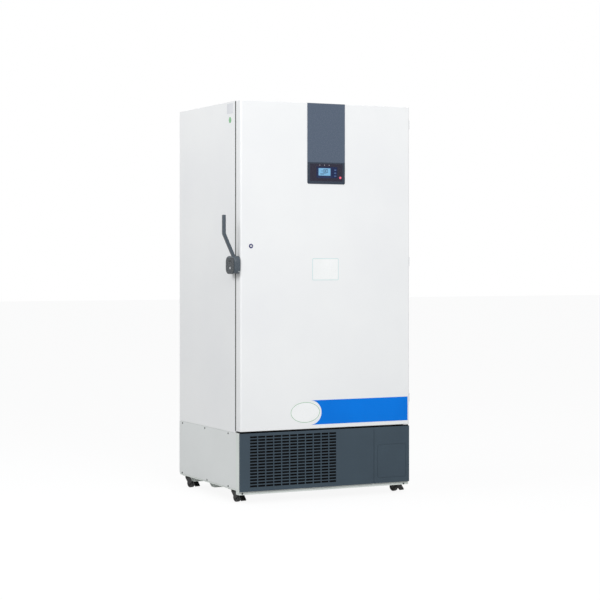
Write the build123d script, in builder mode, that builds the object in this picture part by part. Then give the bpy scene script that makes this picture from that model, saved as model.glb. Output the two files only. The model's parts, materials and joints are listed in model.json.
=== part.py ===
"""Upright ultra low temperature freezer on casters, modelled as it comes apart.

Millimetres. The door faces -Y, +X is to its right and +Z is up. The origin is on the floor,
under the middle of the whole part with its handle and hinges.
"""

import os
from math import atan2, cos, degrees, radians, sin

from build123d import *

os.makedirs("parts", exist_ok=True)

# Overall sizes
body_width = 957.0
body_depth = 786.0
body_top = 1990.0
cabinet_bottom = 350.0
sheet = 1.5
seat_gap = 0.3
running_gap = 0.05

# Door slab and its gasket
door_thickness = 53.0
gasket_gap = 8.0
door_bottom = 358.0
door_corner_radius = 10.0
door_edge_radius = 3.0
gasket_inset = 4.0
gasket_width = 26.0
gasket_base = 3.0
gasket_lip = 8.0

# Insulated walls and the throat that the door plugs into
side_wall = 95.0
back_wall = 95.0
top_wall = 100.0
floor_wall = 100.0
throat_depth = 46.0
throat_flare = 18.0
throat_lip = 2.0
plug_depth = 36.0
plug_clearance = 6.0

# Shelves and the two inner doors
shelf_count = 3
shelf_inset = 45.0
shelf_edge = 20.0
shelf_clearance = 5.0
ledge_length = 60.0
ledge_reach = 14.0
ledge_height = 6.0
inner_door_thickness = 30.0
inner_door_setback = 4.0
inner_door_clearance = 4.0
inner_hinge_inset = 20.0
inner_bracket_height = 5.0
inner_bracket_lift = 4.0
inner_end_gap = 1.0
inner_pin_radius = 4.0
inner_panel_recess = 3.0
inner_panel_border = 45.0
inner_grip_size = (22.0, 120.0)
inner_grip_proud = 8.0

# Machine bay
grille_setback = 2.0
grille_depth = 13.0
grille_wall = 3.0
grille_bottom = 63.0
grille_top_gap = 1.0
grille_width = 748.0
seam_gap = 1.5
slot_columns = 11
slot_rows = 17
slot_size = (38.6, 9.5)
slot_pitch = (43.9, 15.1)
slot_first_x = 72.6
slot_first_z = 329.7
cover_panel_inset = 19.0
cover_panel_size = (168.0, 171.0)
cover_panel_rise = 26.0
cover_groove = 2.5
lip_bottom = 46.0
pan_bottom = 64.0
frame_sheet = 2.0
post_width = 38.0
rail_height = 25.0
side_panel_bottom = 72.0
side_panel_gap = 2.0
rear_recess = 4.5
channel_places = (351.0, 607.0)
channel_depth = 20.0
channel_width = 36.0
channel_slant = 12.0

# Refrigeration set
filter_thickness = 6.0
filter_margin = 12.0
condenser_size = (510.0, 40.0, 250.0)
condenser_inset = (40.0, 40.0)
fin_count = 16
fin_depth = 8.0
fan_radius = 90.0
fan_tip_gap = 4.0
fan_blade_count = 5
fan_hub_radius = 26.0
fan_hub_length = 24.0
fan_blade_pitch = 28.0
shroud_depth = 30.0
motor_radius = 34.0
motor_length = 55.0
motor_shaft_radius = 4.0
compressor_radius = 82.0
compressor_height = 200.0
compressor_foot_height = 14.0
compressor_places = ((230.0, 470.0), (520.0, 470.0))
exchanger_radius = 52.0
exchanger_height = 230.0
exchanger_place = (720.0, 560.0)
tube_radius = 5.0
electrical_box_size = (160.0, 190.0, 240.0)
electrical_box_inset = (30.0, 60.0)
battery_size = (150.0, 65.0, 95.0)
battery_gap = 25.0
inlet_size = (48.0, 28.0, 30.0)
inlet_flange = 6.0
inlet_place = (110.0, 150.0)
vent_rows = 9
vent_slot = (150.0, 6.0)
vent_pitch = 22.0
port_radius = 12.5
port_wall = 3.0
port_clearance = 0.2
port_place = (200.0, 1500.0)
evaporator_rows = 8
evaporator_radius = 4.0

# Control housing on the door
control_offset = 367.0
control_width = 212.0
control_height = 405.0
control_proud = 2.5
control_depth = 20.0
control_radius = 8.0
fascia_margin = 14.0
fascia_height = 88.0
fascia_thickness = 2.0
display_size = (82.0, 53.0)
display_offset = (82.0, 42.0)
key_size = (11.0, 6.5)
key_thickness = 3.0
key_proud = 0.8
key_travel = 0.8
key_clearance = 0.3
key_offset = 142.0
key_pitch = 15.0
lamp_radius = 6.0
lamp_proud = 2.4
lamp_offset = (171.0, 19.0)

# Key lock in the door's face
lock_place = (57.0, 1272.0)
lock_flange_radius = 11.0
lock_flange = 2.0
lock_barrel_radius = 8.5
lock_plug_radius = 6.0
lock_length = 28.0

# Latch on the left edge
latch_z = 1178.0
latch_pivot = 28.0
hub_size = (110.0, 91.0)
hub_front_reach = 5.0
hub_reach = 35.0
hub_wall = 3.5
hub_radius = 30.0
hub_edge_radius = 8.0
hub_side_gap = 2.0
pivot_radius = 6.0
bracket_radius = 20.0
bracket_thickness = 4.0
hook_thickness = 8.0
hook_radius = 17.0
hook_finger = 8.0
hook_rise = 12.0
striker_distance = 52.0
striker_radius = 5.0
striker_plate = (32.0, 44.0)
arm_section = (20.0, 16.0)
arm_corner = 5.0
arm_root = (19.0, 26.0)
arm_elbow = (78.0, 155.0)
arm_top = 247.0
arm_bend_radius = 28.0
arm_offset = -4.0
lever_lock_drop = 14.0
lever_lock_back = 19.0
keyhole_rise = 20.0
keyhole_radius = 5.5

# Lift-off hinges on the right edge
hinge_places = (470.0, 1174.0, 1878.0)
hinge_half = 45.0
hinge_axis_out = 12.0
knuckle_radius = 10.0
hinge_pin_radius = 5.0
leaf_thickness = 4.0
leaf_width = 46.0

# Casters
caster_inset_x = 32.0
caster_front = 138.0
caster_rear = 51.0
caster_headings = {"front_left": -80.0, "front_right": -74.0, "rear_left": -76.0, "rear_right": -84.0}
wheel_radius = 22.5
wheel_width = 20.0
wheel_groove = 2.5
axle_radius = 3.5
fork_gap = 0.6
fork_sheet = 2.5
trail = 20.0
crown_radius = 18.0
crown_height = 6.0
race_height = 5.0
plate_size = 52.0
plate_thickness = 3.0
plate_hole_radius = 3.3
plate_hole_spacing = 38.0
king_radius = 5.0
pedal_pivot = (46.0, 39.0)
pedal_pin_radius = 2.5
pedal_barrel_radius = 5.5
pedal_width = 30.0
pedal_tip = (79.0, 15.0)
pedal_thickness = 4.5

# Places worked out from the sizes
handle_reach = arm_elbow[0] + arm_section[1] / 2
hinge_reach = hinge_axis_out + knuckle_radius
left = (handle_reach - hinge_reach - body_width) / 2
right = left + body_width
front = (hub_front_reach - body_depth) / 2
back = front + body_depth
middle_x = (left + right) / 2

door_back = front + door_thickness
cabinet_front = door_back + gasket_gap
liner_left = left + side_wall
liner_right = right - side_wall
liner_front = cabinet_front + throat_depth
liner_back = back - back_wall
liner_bottom = cabinet_bottom + floor_wall
liner_top = body_top - top_wall
liner_middle_z = (liner_bottom + liner_top) / 2
throat_slope = (throat_flare - throat_lip) / throat_depth
throat_angle = degrees(atan2(throat_flare - throat_lip, throat_depth))

frame_front = front + grille_setback + grille_depth
frame_back = back - rear_recess - sheet
pan_top = pan_bottom + frame_sheet
grille_front = front + grille_setback
grille_top = cabinet_bottom - grille_top_gap
hinge_x = right + hinge_axis_out
hinge_y = door_back + gasket_gap / 2
pivot_y = front + latch_pivot
control_left = left + control_offset
control_front = front - control_proud
fascia_bottom = body_top - control_height + fascia_margin


def block(low, high, mode=Mode.ADD):
    """Adds or cuts a square block between two opposite corners."""
    size = [top - bottom for bottom, top in zip(low, high)]
    middle = tuple((top + bottom) / 2 for bottom, top in zip(low, high))
    with Locations(middle):
        Box(*size, mode=mode)


def facing_front(y):
    """A plane across the part at y, drawn in X and Z. Extrude by a negative amount to go back."""
    return Plane.XZ.offset(-y)


def facing_back(x, y, z):
    """A plane across the part whose normal points to the back, for tapered plugs."""
    return Plane(origin=(x, y, z), x_dir=(1, 0, 0), z_dir=(0, 1, 0))


def save(piece, name):
    """Labels a finished piece and writes it to its own file."""
    piece.label = name
    export_step(piece, f"parts/{name}.step")


# Cabinet skin: one folded wrap with the door's landing face and its opening
aperture_low = (liner_left - throat_flare, liner_bottom - throat_flare)
aperture_high = (liner_right + throat_flare, liner_top + throat_flare)
port_x = left + port_place[0]
port_z = port_place[1]
port_hole = port_radius + port_wall + port_clearance

with BuildPart() as cabinet_shell:
    block((left, cabinet_front, cabinet_bottom), (right, back, body_top))
    fillet(cabinet_shell.edges().filter_by(Axis.Z), 2 * sheet)
    block(
        (left + sheet, cabinet_front + sheet, cabinet_bottom + sheet),
        (right - sheet, back - sheet, body_top - sheet),
        Mode.SUBTRACT,
    )
    block(
        (aperture_low[0], cabinet_front, aperture_low[1]),
        (aperture_high[0], cabinet_front + sheet, aperture_high[1]),
        Mode.SUBTRACT,
    )
    with BuildSketch(facing_front(back)):
        with Locations((port_x, port_z)):
            Circle(port_hole)
    extrude(amount=sheet, mode=Mode.SUBTRACT)
save(cabinet_shell.part, "cabinet_shell")

# Foam and vacuum panels between the skin and the liner, parted into floor, ceiling, back and side slabs
with BuildPart() as cabinet_insulation:
    block(
        (left + sheet, cabinet_front + sheet, cabinet_bottom + sheet),
        (right - sheet, back - sheet, body_top - sheet),
    )
    block(
        (liner_left - sheet, liner_front, liner_bottom - sheet),
        (liner_right + sheet, liner_back + sheet, liner_top + sheet),
        Mode.SUBTRACT,
    )
    block(
        (aperture_low[0], cabinet_front, aperture_low[1]),
        (aperture_high[0], liner_front, aperture_high[1]),
        Mode.SUBTRACT,
    )
    with BuildSketch(facing_front(back)):
        with Locations((port_x, port_z)):
            Circle(port_hole)
    extrude(amount=back_wall, mode=Mode.SUBTRACT)
    tube_channel = evaporator_radius * 2 + seat_gap
    for row in range(evaporator_rows):
        row_z = liner_bottom + (liner_top - liner_bottom) * (row + 1) / (evaporator_rows + 1)
        block(
            (liner_left - sheet - tube_channel, liner_front, row_z - evaporator_radius - seat_gap),
            (liner_right + sheet + tube_channel, liner_back + sheet, row_z + evaporator_radius + seat_gap),
            Mode.SUBTRACT,
        )
    for parting_z in (liner_bottom - sheet - seat_gap, liner_top + sheet):
        block((left, cabinet_front, parting_z), (right, back, parting_z + seat_gap), Mode.SUBTRACT)
    block(
        (left, liner_back + sheet, liner_bottom - sheet),
        (right, liner_back + sheet + seat_gap, liner_top + sheet),
        Mode.SUBTRACT,
    )
save(cabinet_insulation.part, "cabinet_insulation")

# Evaporator: a cold-wall tube down each side of the liner, one straight pass in each channel
with BuildPart() as evaporator_tubes:
    for row in range(evaporator_rows):
        row_z = liner_bottom + (liner_top - liner_bottom) * (row + 1) / (evaporator_rows + 1)
        for side_x in (liner_left - sheet - evaporator_radius, liner_right + sheet + evaporator_radius):
            with BuildSketch(facing_front(liner_front + seat_gap)):
                with Locations((side_x, row_z)):
                    Circle(evaporator_radius)
            extrude(amount=-(liner_back - liner_front))
save(evaporator_tubes.part, "evaporator_tubes")

# Stainless chamber with a pair of ledges on each wall under every shelf
shelf_heights = [
    liner_bottom + (liner_top - liner_bottom) * (index + 1) / (shelf_count + 1) for index in range(shelf_count)
]
ledge_starts = (liner_front + shelf_inset + ledge_length, liner_back - 2 * ledge_length)

with BuildPart() as inner_liner:
    block(
        (liner_left - sheet, liner_front, liner_bottom - sheet),
        (liner_right + sheet, liner_back + sheet, liner_top + sheet),
    )
    block(
        (liner_left, liner_front, liner_bottom),
        (liner_right, liner_back, liner_top),
        Mode.SUBTRACT,
    )
    for shelf_z in shelf_heights:
        ledge_top = shelf_z - shelf_edge
        for ledge_y in ledge_starts:
            for ledge_x in (liner_left, liner_right - ledge_reach):
                block(
                    (ledge_x, ledge_y, ledge_top - ledge_height),
                    (ledge_x + ledge_reach, ledge_y + ledge_length, ledge_top),
                )
    with BuildSketch(facing_front(liner_back + sheet)):
        with Locations((port_x, port_z)):
            Circle(port_hole)
    extrude(amount=sheet, mode=Mode.SUBTRACT)
save(inner_liner.part, "inner_liner")

# Moulded throat between the steel skin and the liner, flared towards the door
with BuildPart() as throat_frame:
    block(
        (aperture_low[0], cabinet_front, aperture_low[1]),
        (aperture_high[0], liner_front, aperture_high[1]),
    )
    mouth_grow = 2 * (throat_flare - throat_lip)
    with BuildSketch(facing_back(middle_x, cabinet_front, liner_middle_z)):
        Rectangle(liner_right - liner_left + mouth_grow, liner_top - liner_bottom + mouth_grow)
    extrude(amount=throat_depth, taper=throat_angle, mode=Mode.SUBTRACT)
save(throat_frame.part, "throat_frame")

# Probe port through the back wall
with BuildPart() as access_port:
    with BuildSketch(facing_front(back)):
        with Locations((port_x, port_z)):
            Circle(port_radius + port_wall)
            Circle(port_radius, mode=Mode.SUBTRACT)
    extrude(amount=back_wall)
save(access_port.part, "access_port")

# Shelves: stainless trays with turned-down edges that stand on the ledges
with BuildPart() as shelves:
    for shelf_z in shelf_heights:
        tray_low = (liner_left + shelf_clearance, liner_front + shelf_inset, shelf_z - shelf_edge)
        tray_high = (liner_right - shelf_clearance, liner_back - shelf_clearance, shelf_z)
        block(tray_low, tray_high)
        block(
            (tray_low[0] + sheet, tray_low[1] + sheet, tray_low[2]),
            (tray_high[0] - sheet, tray_high[1] - sheet, tray_high[2] - sheet),
            Mode.SUBTRACT,
        )
save(shelves.part, "shelves")

# Inner doors: foamed panels with a sunk field, a pull and two short hinge pins
inner_low_y = liner_front + inner_door_setback
inner_high_y = inner_low_y + inner_door_thickness
inner_left = liner_left + inner_door_clearance
inner_right = liner_right - inner_hinge_inset / 2
inner_axis = (liner_right - inner_hinge_inset, (inner_low_y + inner_high_y) / 2)
inner_gap = inner_bracket_height / 2 + inner_end_gap
inner_foot = inner_bracket_lift + inner_bracket_height + inner_end_gap
inner_spans = {
    "inner_door_lower": (liner_bottom + inner_foot, liner_middle_z - inner_gap),
    "inner_door_upper": (liner_middle_z + inner_gap, liner_top - inner_foot),
}

for inner_name, (inner_bottom, inner_top) in inner_spans.items():
    with BuildPart() as inner_door:
        block((inner_left, inner_low_y, inner_bottom), (inner_right, inner_high_y, inner_top))
        fillet(inner_door.edges().filter_by(Axis.Z), 3)
        block(
            (inner_left + inner_panel_border, inner_low_y, inner_bottom + inner_panel_border),
            (inner_right - inner_panel_border, inner_low_y + inner_panel_recess, inner_top - inner_panel_border),
            Mode.SUBTRACT,
        )
        grip_x = inner_left + inner_panel_border / 2
        grip_z = (inner_bottom + inner_top) / 2
        with BuildSketch(facing_front(inner_low_y)):
            with Locations((grip_x, grip_z)):
                RectangleRounded(*inner_grip_size, 6)
        extrude(amount=inner_grip_proud)
        for pin_base in (inner_bottom - inner_gap, inner_top):
            with BuildSketch(Plane.XY.offset(pin_base)):
                with Locations(inner_axis):
                    Circle(inner_pin_radius)
            extrude(amount=inner_gap)
    save(inner_door.part, inner_name)

# Three brackets on the liner's right wall that hold the inner doors' pins
bracket_bands = (
    (liner_bottom + inner_bracket_lift, liner_bottom + inner_foot - inner_end_gap),
    (liner_middle_z - inner_bracket_height / 2, liner_middle_z + inner_bracket_height / 2),
    (liner_top - inner_foot + inner_end_gap, liner_top - inner_bracket_lift),
)
with BuildPart() as inner_door_hinges:
    for band_low, band_high in bracket_bands:
        block(
            (inner_axis[0] - 2.5 * inner_pin_radius, inner_low_y, band_low),
            (liner_right, inner_high_y, band_high),
        )
        with BuildSketch(Plane.XY.offset(band_low)):
            with Locations(inner_axis):
                Circle(inner_pin_radius + running_gap)
        extrude(amount=band_high - band_low, mode=Mode.SUBTRACT)
save(inner_door_hinges.part, "inner_door_hinges")


def control_outline(grow):
    """The control housing's face: square at the door's top, rounded below."""
    width = control_width + 2 * grow
    bottom = body_top - control_height - grow
    with Locations((control_left + control_width / 2, (bottom + body_top) / 2)):
        Rectangle(width, body_top - bottom)
    fillet(vertices().sort_by(Axis.Y)[0:2], control_radius)


# Outer door: a steel pan, foam, an inner pan with its plug, and the gasket
plug_start = throat_flare - throat_lip + gasket_gap * throat_slope - plug_clearance
plug_width = liner_right - liner_left + 2 * plug_start
plug_height = liner_top - liner_bottom + 2 * plug_start
plug_length = gasket_gap + plug_depth

with BuildPart() as door_shell:
    block((left, front, door_bottom), (right, door_back, body_top))
    fillet(door_shell.edges().filter_by(Axis.Z).group_by(Axis.Y)[0], door_corner_radius)
    fillet(door_shell.faces().sort_by(Axis.Y)[0].edges().filter_by(Axis.X), door_edge_radius)
    offset(amount=-sheet, openings=door_shell.faces().sort_by(Axis.Y)[-1])
    with BuildSketch(facing_front(front - sheet)):
        control_outline(0)
    extrude(amount=-(control_depth + sheet), mode=Mode.SUBTRACT)
    with BuildSketch(facing_front(front)):
        with Locations((left + lock_place[0], lock_place[1])):
            Circle(lock_barrel_radius)
    extrude(amount=-sheet, mode=Mode.SUBTRACT)
save(door_shell.part, "door_shell")

with BuildPart() as door_insulation:
    block(
        (left + sheet, front + sheet, door_bottom + sheet),
        (right - sheet, door_back - sheet, body_top - sheet),
    )
    fillet(door_insulation.edges().filter_by(Axis.Z).group_by(Axis.Y)[0], door_corner_radius - sheet)
    fillet(door_insulation.faces().sort_by(Axis.Y)[0].edges().filter_by(Axis.X), door_edge_radius - sheet)
    with BuildSketch(facing_back(middle_x, door_back - sheet, liner_middle_z)):
        Rectangle(plug_width - 2 * sheet, plug_height - 2 * sheet)
    extrude(amount=plug_length, taper=throat_angle)
    with BuildSketch(facing_front(front)):
        control_outline(0)
    extrude(amount=-control_depth, mode=Mode.SUBTRACT)
    with BuildSketch(facing_front(front)):
        with Locations((left + lock_place[0], lock_place[1])):
            Circle(lock_barrel_radius)
    extrude(amount=-lock_length, mode=Mode.SUBTRACT)
save(door_insulation.part, "door_insulation")

with BuildPart() as door_liner:
    block(
        (left + sheet, door_back - sheet, door_bottom + sheet),
        (right - sheet, door_back, body_top - sheet),
    )
    with BuildSketch(facing_back(middle_x, door_back, liner_middle_z)):
        Rectangle(plug_width, plug_height)
    extrude(amount=plug_length, taper=throat_angle)
    with BuildSketch(facing_back(middle_x, door_back - sheet, liner_middle_z)):
        Rectangle(plug_width - 2 * sheet, plug_height - 2 * sheet)
    extrude(amount=plug_length, taper=throat_angle, mode=Mode.SUBTRACT)
save(door_liner.part, "door_liner")

with BuildPart() as door_gasket:
    gasket_depth = gasket_gap - seat_gap
    gasket_outer = (body_width - 2 * gasket_inset, body_top - door_bottom - 2 * gasket_inset)
    gasket_middle = (middle_x, (body_top + door_bottom) / 2)
    with BuildSketch(facing_front(door_back)):
        with Locations(gasket_middle):
            Rectangle(*gasket_outer)
            Rectangle(*[side - 2 * gasket_width for side in gasket_outer], mode=Mode.SUBTRACT)
    extrude(amount=-gasket_depth)
    with BuildSketch(facing_front(door_back + gasket_base)):
        with Locations(gasket_middle):
            Rectangle(*[side - 2 * gasket_lip for side in gasket_outer])
            Rectangle(*[side - 2 * (gasket_width - gasket_lip) for side in gasket_outer], mode=Mode.SUBTRACT)
    extrude(amount=-gasket_gap, mode=Mode.SUBTRACT)
save(door_gasket.part, "door_gasket")

# Control housing: a slate moulding sunk into the door with a dark fascia in its lower end
fascia_low = (control_left + fascia_margin, fascia_bottom)
fascia_high = (control_left + control_width - fascia_margin, fascia_bottom + fascia_height)
fascia_middle = ((fascia_low[0] + fascia_high[0]) / 2, (fascia_low[1] + fascia_high[1]) / 2)
display_middle = (fascia_low[0] + display_offset[0], fascia_low[1] + display_offset[1])
key_x = control_left + key_offset + fascia_margin
key_heights = [display_middle[1] + (index - 1) * key_pitch for index in range(3)]
lamp_middle = (fascia_low[0] + lamp_offset[0], fascia_low[1] + lamp_offset[1])

with BuildPart() as control_housing:
    with BuildSketch(facing_front(control_front)):
        control_outline(0)
    extrude(amount=-(control_proud + control_depth))
    fillet(control_housing.faces().sort_by(Axis.Y)[0].edges(), 1.2)
    block(
        (fascia_low[0], control_front, fascia_low[1]),
        (fascia_high[0], control_front + fascia_thickness, fascia_high[1]),
        Mode.SUBTRACT,
    )
    block(
        (key_x - key_size[0], control_front, key_heights[0] - key_size[1]),
        (key_x + key_size[0], control_front + key_thickness + key_travel, key_heights[2] + key_size[1]),
        Mode.SUBTRACT,
    )
save(control_housing.part, "control_housing")

with BuildPart() as control_fascia:
    with BuildSketch(facing_front(control_front + fascia_thickness)):
        with Locations(fascia_middle):
            Rectangle(fascia_high[0] - fascia_low[0] - seat_gap, fascia_height - seat_gap)
        with Locations(display_middle):
            Rectangle(display_size[0], display_size[1], mode=Mode.SUBTRACT)
        with Locations(*[(key_x, key_z) for key_z in key_heights]):
            RectangleRounded(
                key_size[0] + 2 * key_clearance, key_size[1] + 2 * key_clearance, 1.5, mode=Mode.SUBTRACT
            )
        with Locations(lamp_middle):
            Circle(lamp_radius + running_gap, mode=Mode.SUBTRACT)
    extrude(amount=fascia_thickness)
save(control_fascia.part, "control_fascia")

with BuildPart() as display_window:
    with BuildSketch(facing_front(control_front + fascia_thickness)):
        with Locations(display_middle):
            RectangleRounded(display_size[0] - seat_gap, display_size[1] - seat_gap, 2)
    extrude(amount=fascia_thickness + 0.4)
    chamfer(display_window.faces().sort_by(Axis.Y)[0].edges(), 0.3)
save(display_window.part, "display_window")

for key_index, key_z in enumerate(key_heights):
    with BuildPart() as control_key:
        with BuildSketch(facing_front(control_front - key_proud)):
            with Locations((key_x, key_z)):
                RectangleRounded(*key_size, 1.5)
        extrude(amount=-key_thickness)
        fillet(control_key.faces().sort_by(Axis.Y)[0].edges(), 0.6)
    save(control_key.part, f"control_key_{key_index + 1}")

with BuildPart() as alarm_lamp:
    with BuildSketch(facing_front(control_front + fascia_thickness)):
        with Locations(lamp_middle):
            Circle(lamp_radius)
    extrude(amount=fascia_thickness + lamp_proud)
    fillet(alarm_lamp.faces().sort_by(Axis.Y)[0].edges(), lamp_proud - 0.2)
save(alarm_lamp.part, "alarm_lamp")

# Key lock of the door: a flanged barrel and the plug that the key turns
lock_middle = (left + lock_place[0], lock_place[1])
with BuildPart() as lock_barrel:
    with BuildSketch(facing_front(front)):
        with Locations(lock_middle):
            Circle(lock_flange_radius)
    extrude(amount=lock_flange)
    chamfer(lock_barrel.faces().sort_by(Axis.Y)[0].edges(), 0.8)
    with BuildSketch(facing_front(front)):
        with Locations(lock_middle):
            Circle(lock_barrel_radius)
    extrude(amount=-lock_length)
    with BuildSketch(facing_front(front - lock_flange)):
        with Locations(lock_middle):
            Circle(lock_plug_radius + running_gap)
    extrude(amount=-lock_length, mode=Mode.SUBTRACT)
save(lock_barrel.part, "lock_barrel")

with BuildPart() as lock_plug:
    with BuildSketch(facing_front(front - lock_flange)):
        with Locations(lock_middle):
            Circle(lock_plug_radius)
    extrude(amount=-(lock_length - seat_gap))
    block(
        (lock_middle[0] - 0.8, front - lock_flange, lock_middle[1] - 4),
        (lock_middle[0] + 0.8, front + lock_length / 2, lock_middle[1] + 4),
        Mode.SUBTRACT,
    )
save(lock_plug.part, "lock_plug")

# Latch: bracket and pin on the door, striker on the cabinet, hub with arm and hook on the pin
hub_y = (front - hub_front_reach + hub_size[0] / 2, latch_z)
hub_back = front - hub_front_reach + hub_size[0]
hub_outer = left - hub_reach
hub_inner = left - hub_side_gap
cavity_outer = hub_outer + hub_wall
hook_inner = left - bracket_thickness * 2
hook_outer = hook_inner - hook_thickness
pin_end = cavity_outer + hub_wall

with BuildPart() as latch_bracket:
    with BuildSketch(Plane.YZ.offset(left)):
        with Locations((pivot_y, latch_z)):
            Circle(bracket_radius)
    extrude(amount=-bracket_thickness)
    with BuildSketch(Plane.YZ.offset(left - bracket_thickness)):
        with Locations((pivot_y, latch_z)):
            Circle(pivot_radius + 4)
    extrude(amount=-(bracket_thickness - seat_gap))
    with BuildSketch(Plane.YZ.offset(left - bracket_thickness)):
        with Locations((pivot_y, latch_z)):
            Circle(pivot_radius)
    extrude(amount=-(left - bracket_thickness - pin_end))
save(latch_bracket.part, "latch_bracket")

striker_y = pivot_y + striker_distance
with BuildPart() as latch_striker:
    with BuildSketch(Plane.YZ.offset(left)):
        with Locations((striker_y, latch_z)):
            RectangleRounded(*striker_plate, 5)
    extrude(amount=-(bracket_thickness - 1))
    with BuildSketch(Plane.YZ.offset(left)):
        with Locations((striker_y, latch_z)):
            Circle(striker_radius)
    extrude(amount=-(left - hook_outer))
save(latch_striker.part, "latch_striker")

with BuildPart() as latch_hook:
    bar_low = striker_radius + seat_gap
    finger_front = striker_distance + striker_radius + seat_gap
    with BuildSketch(Plane.YZ.offset(hook_outer)):
        with Locations((pivot_y, latch_z)):
            Circle(hook_radius)
        with Locations((pivot_y + (finger_front + hook_finger) / 2, latch_z + bar_low + hook_rise / 2)):
            Rectangle(finger_front + hook_finger, hook_rise)
        with Locations((pivot_y + finger_front + hook_finger / 2, latch_z)):
            Rectangle(hook_finger, 2 * (bar_low + 4))
        with Locations((pivot_y, latch_z)):
            Circle(pivot_radius + running_gap, mode=Mode.SUBTRACT)
    extrude(amount=hook_thickness)
    fillet(latch_hook.edges().filter_by(Axis.X).sort_by(Axis.Z)[0:2], 3)
save(latch_hook.part, "latch_hook")

lever_lock_middle = (pivot_y + lever_lock_back, latch_z - lever_lock_drop)
keyhole_middle = (pivot_y + lever_lock_back, latch_z + keyhole_rise)
arm_y = pivot_y + arm_offset

with BuildPart() as latch_lever:
    with BuildSketch(Plane.YZ.offset(hub_outer)):
        with Locations(hub_y):
            RectangleRounded(*hub_size, hub_radius)
    extrude(amount=hub_inner - hub_outer)
    fillet(latch_lever.faces().sort_by(Axis.X)[0].edges(), hub_edge_radius)
    with BuildLine(Plane.XZ.offset(-arm_y)) as arm_path:
        FilletPolyline(
            (left - arm_root[0], latch_z + arm_root[1]),
            (left - arm_elbow[0], latch_z + arm_elbow[1]),
            (left - arm_elbow[0], latch_z + arm_top),
            radius=arm_bend_radius,
        )
    arm_start = Plane(origin=arm_path.line @ 0, x_dir=(0, 1, 0), z_dir=arm_path.line % 0)
    with BuildSketch(arm_start):
        RectangleRounded(*arm_section, arm_corner)
    sweep(path=arm_path.line)
    fillet(latch_lever.faces().sort_by(Axis.Z)[-1].edges(), 3)
    with BuildSketch(Plane.YZ.offset(cavity_outer)):
        with Locations(hub_y):
            RectangleRounded(
                hub_size[0] - 2 * hub_wall, hub_size[1] - 2 * hub_wall, hub_radius - hub_wall
            )
    extrude(amount=hub_reach, mode=Mode.SUBTRACT)
    block(
        (cavity_outer, pivot_y - hook_radius, latch_z - hub_size[1]),
        (hub_inner, hub_back - hub_wall, latch_z - striker_plate[1] / 2 - 2),
        Mode.SUBTRACT,
    )
    with BuildSketch(Plane.YZ.offset(cavity_outer)):
        with Locations((pivot_y, latch_z)):
            Circle(pivot_radius + 5)
        with Locations(lever_lock_middle):
            Circle(lock_plug_radius + 3)
    extrude(amount=hook_outer - cavity_outer)
    with BuildSketch(Plane.YZ.offset(pin_end - seat_gap)):
        with Locations((pivot_y, latch_z)):
            Circle(pivot_radius + running_gap)
    extrude(amount=hub_reach, mode=Mode.SUBTRACT)
    with BuildSketch(Plane.YZ.offset(hub_outer)):
        with Locations(lever_lock_middle):
            Circle(lock_plug_radius + running_gap)
    extrude(amount=hook_outer - hub_outer, mode=Mode.SUBTRACT)
    with BuildSketch(Plane.YZ.offset(hub_outer)):
        with Locations(keyhole_middle):
            Circle(keyhole_radius)
    extrude(amount=hub_wall - 1, mode=Mode.SUBTRACT)
save(latch_lever.part, "latch_lever")

with BuildPart() as lever_lock_plug:
    with BuildSketch(Plane.YZ.offset(hub_outer)):
        with Locations(lever_lock_middle):
            Circle(lock_plug_radius)
    extrude(amount=hook_outer - hub_outer - seat_gap)
    block(
        (hub_outer, lever_lock_middle[0] - 0.8, lever_lock_middle[1] - 4),
        (hub_outer + 6, lever_lock_middle[0] + 0.8, lever_lock_middle[1] + 4),
        Mode.SUBTRACT,
    )
save(lever_lock_plug.part, "lever_lock_plug")

# Lift-off hinges: the cabinet's lower knuckle carries the pin, the door's upper knuckle drops over it
with BuildPart() as cabinet_hinges:
    for hinge_z in hinge_places:
        block(
            (right, cabinet_front + 2, hinge_z - hinge_half),
            (right + leaf_thickness, cabinet_front + 2 + leaf_width, hinge_z + hinge_half),
        )
        with BuildSketch(Plane.XY.offset(hinge_z - hinge_half)):
            with Locations((hinge_x, hinge_y)):
                Circle(knuckle_radius)
            with Locations((right + leaf_thickness / 2, (hinge_y + cabinet_front + 12) / 2)):
                Rectangle(leaf_thickness, cabinet_front + 12 - hinge_y)
        extrude(amount=hinge_half)
        with BuildSketch(Plane.XY.offset(hinge_z)):
            with Locations((hinge_x, hinge_y)):
                Circle(hinge_pin_radius)
        extrude(amount=hinge_half - 5)
save(cabinet_hinges.part, "cabinet_hinges")

with BuildPart() as door_hinges:
    for hinge_z in hinge_places:
        block(
            (right, door_back - 1 - leaf_width, hinge_z + seat_gap),
            (right + leaf_thickness, door_back - 1, hinge_z + hinge_half),
        )
        with BuildSketch(Plane.XY.offset(hinge_z + seat_gap)):
            with Locations((hinge_x, hinge_y)):
                Circle(knuckle_radius)
            with Locations((right + leaf_thickness / 2, (hinge_y + door_back - 12) / 2)):
                Rectangle(leaf_thickness, hinge_y - door_back + 12)
            with Locations((hinge_x, hinge_y)):
                Circle(hinge_pin_radius + running_gap, mode=Mode.SUBTRACT)
        extrude(amount=hinge_half - seat_gap)
save(door_hinges.part, "door_hinges")

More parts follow.
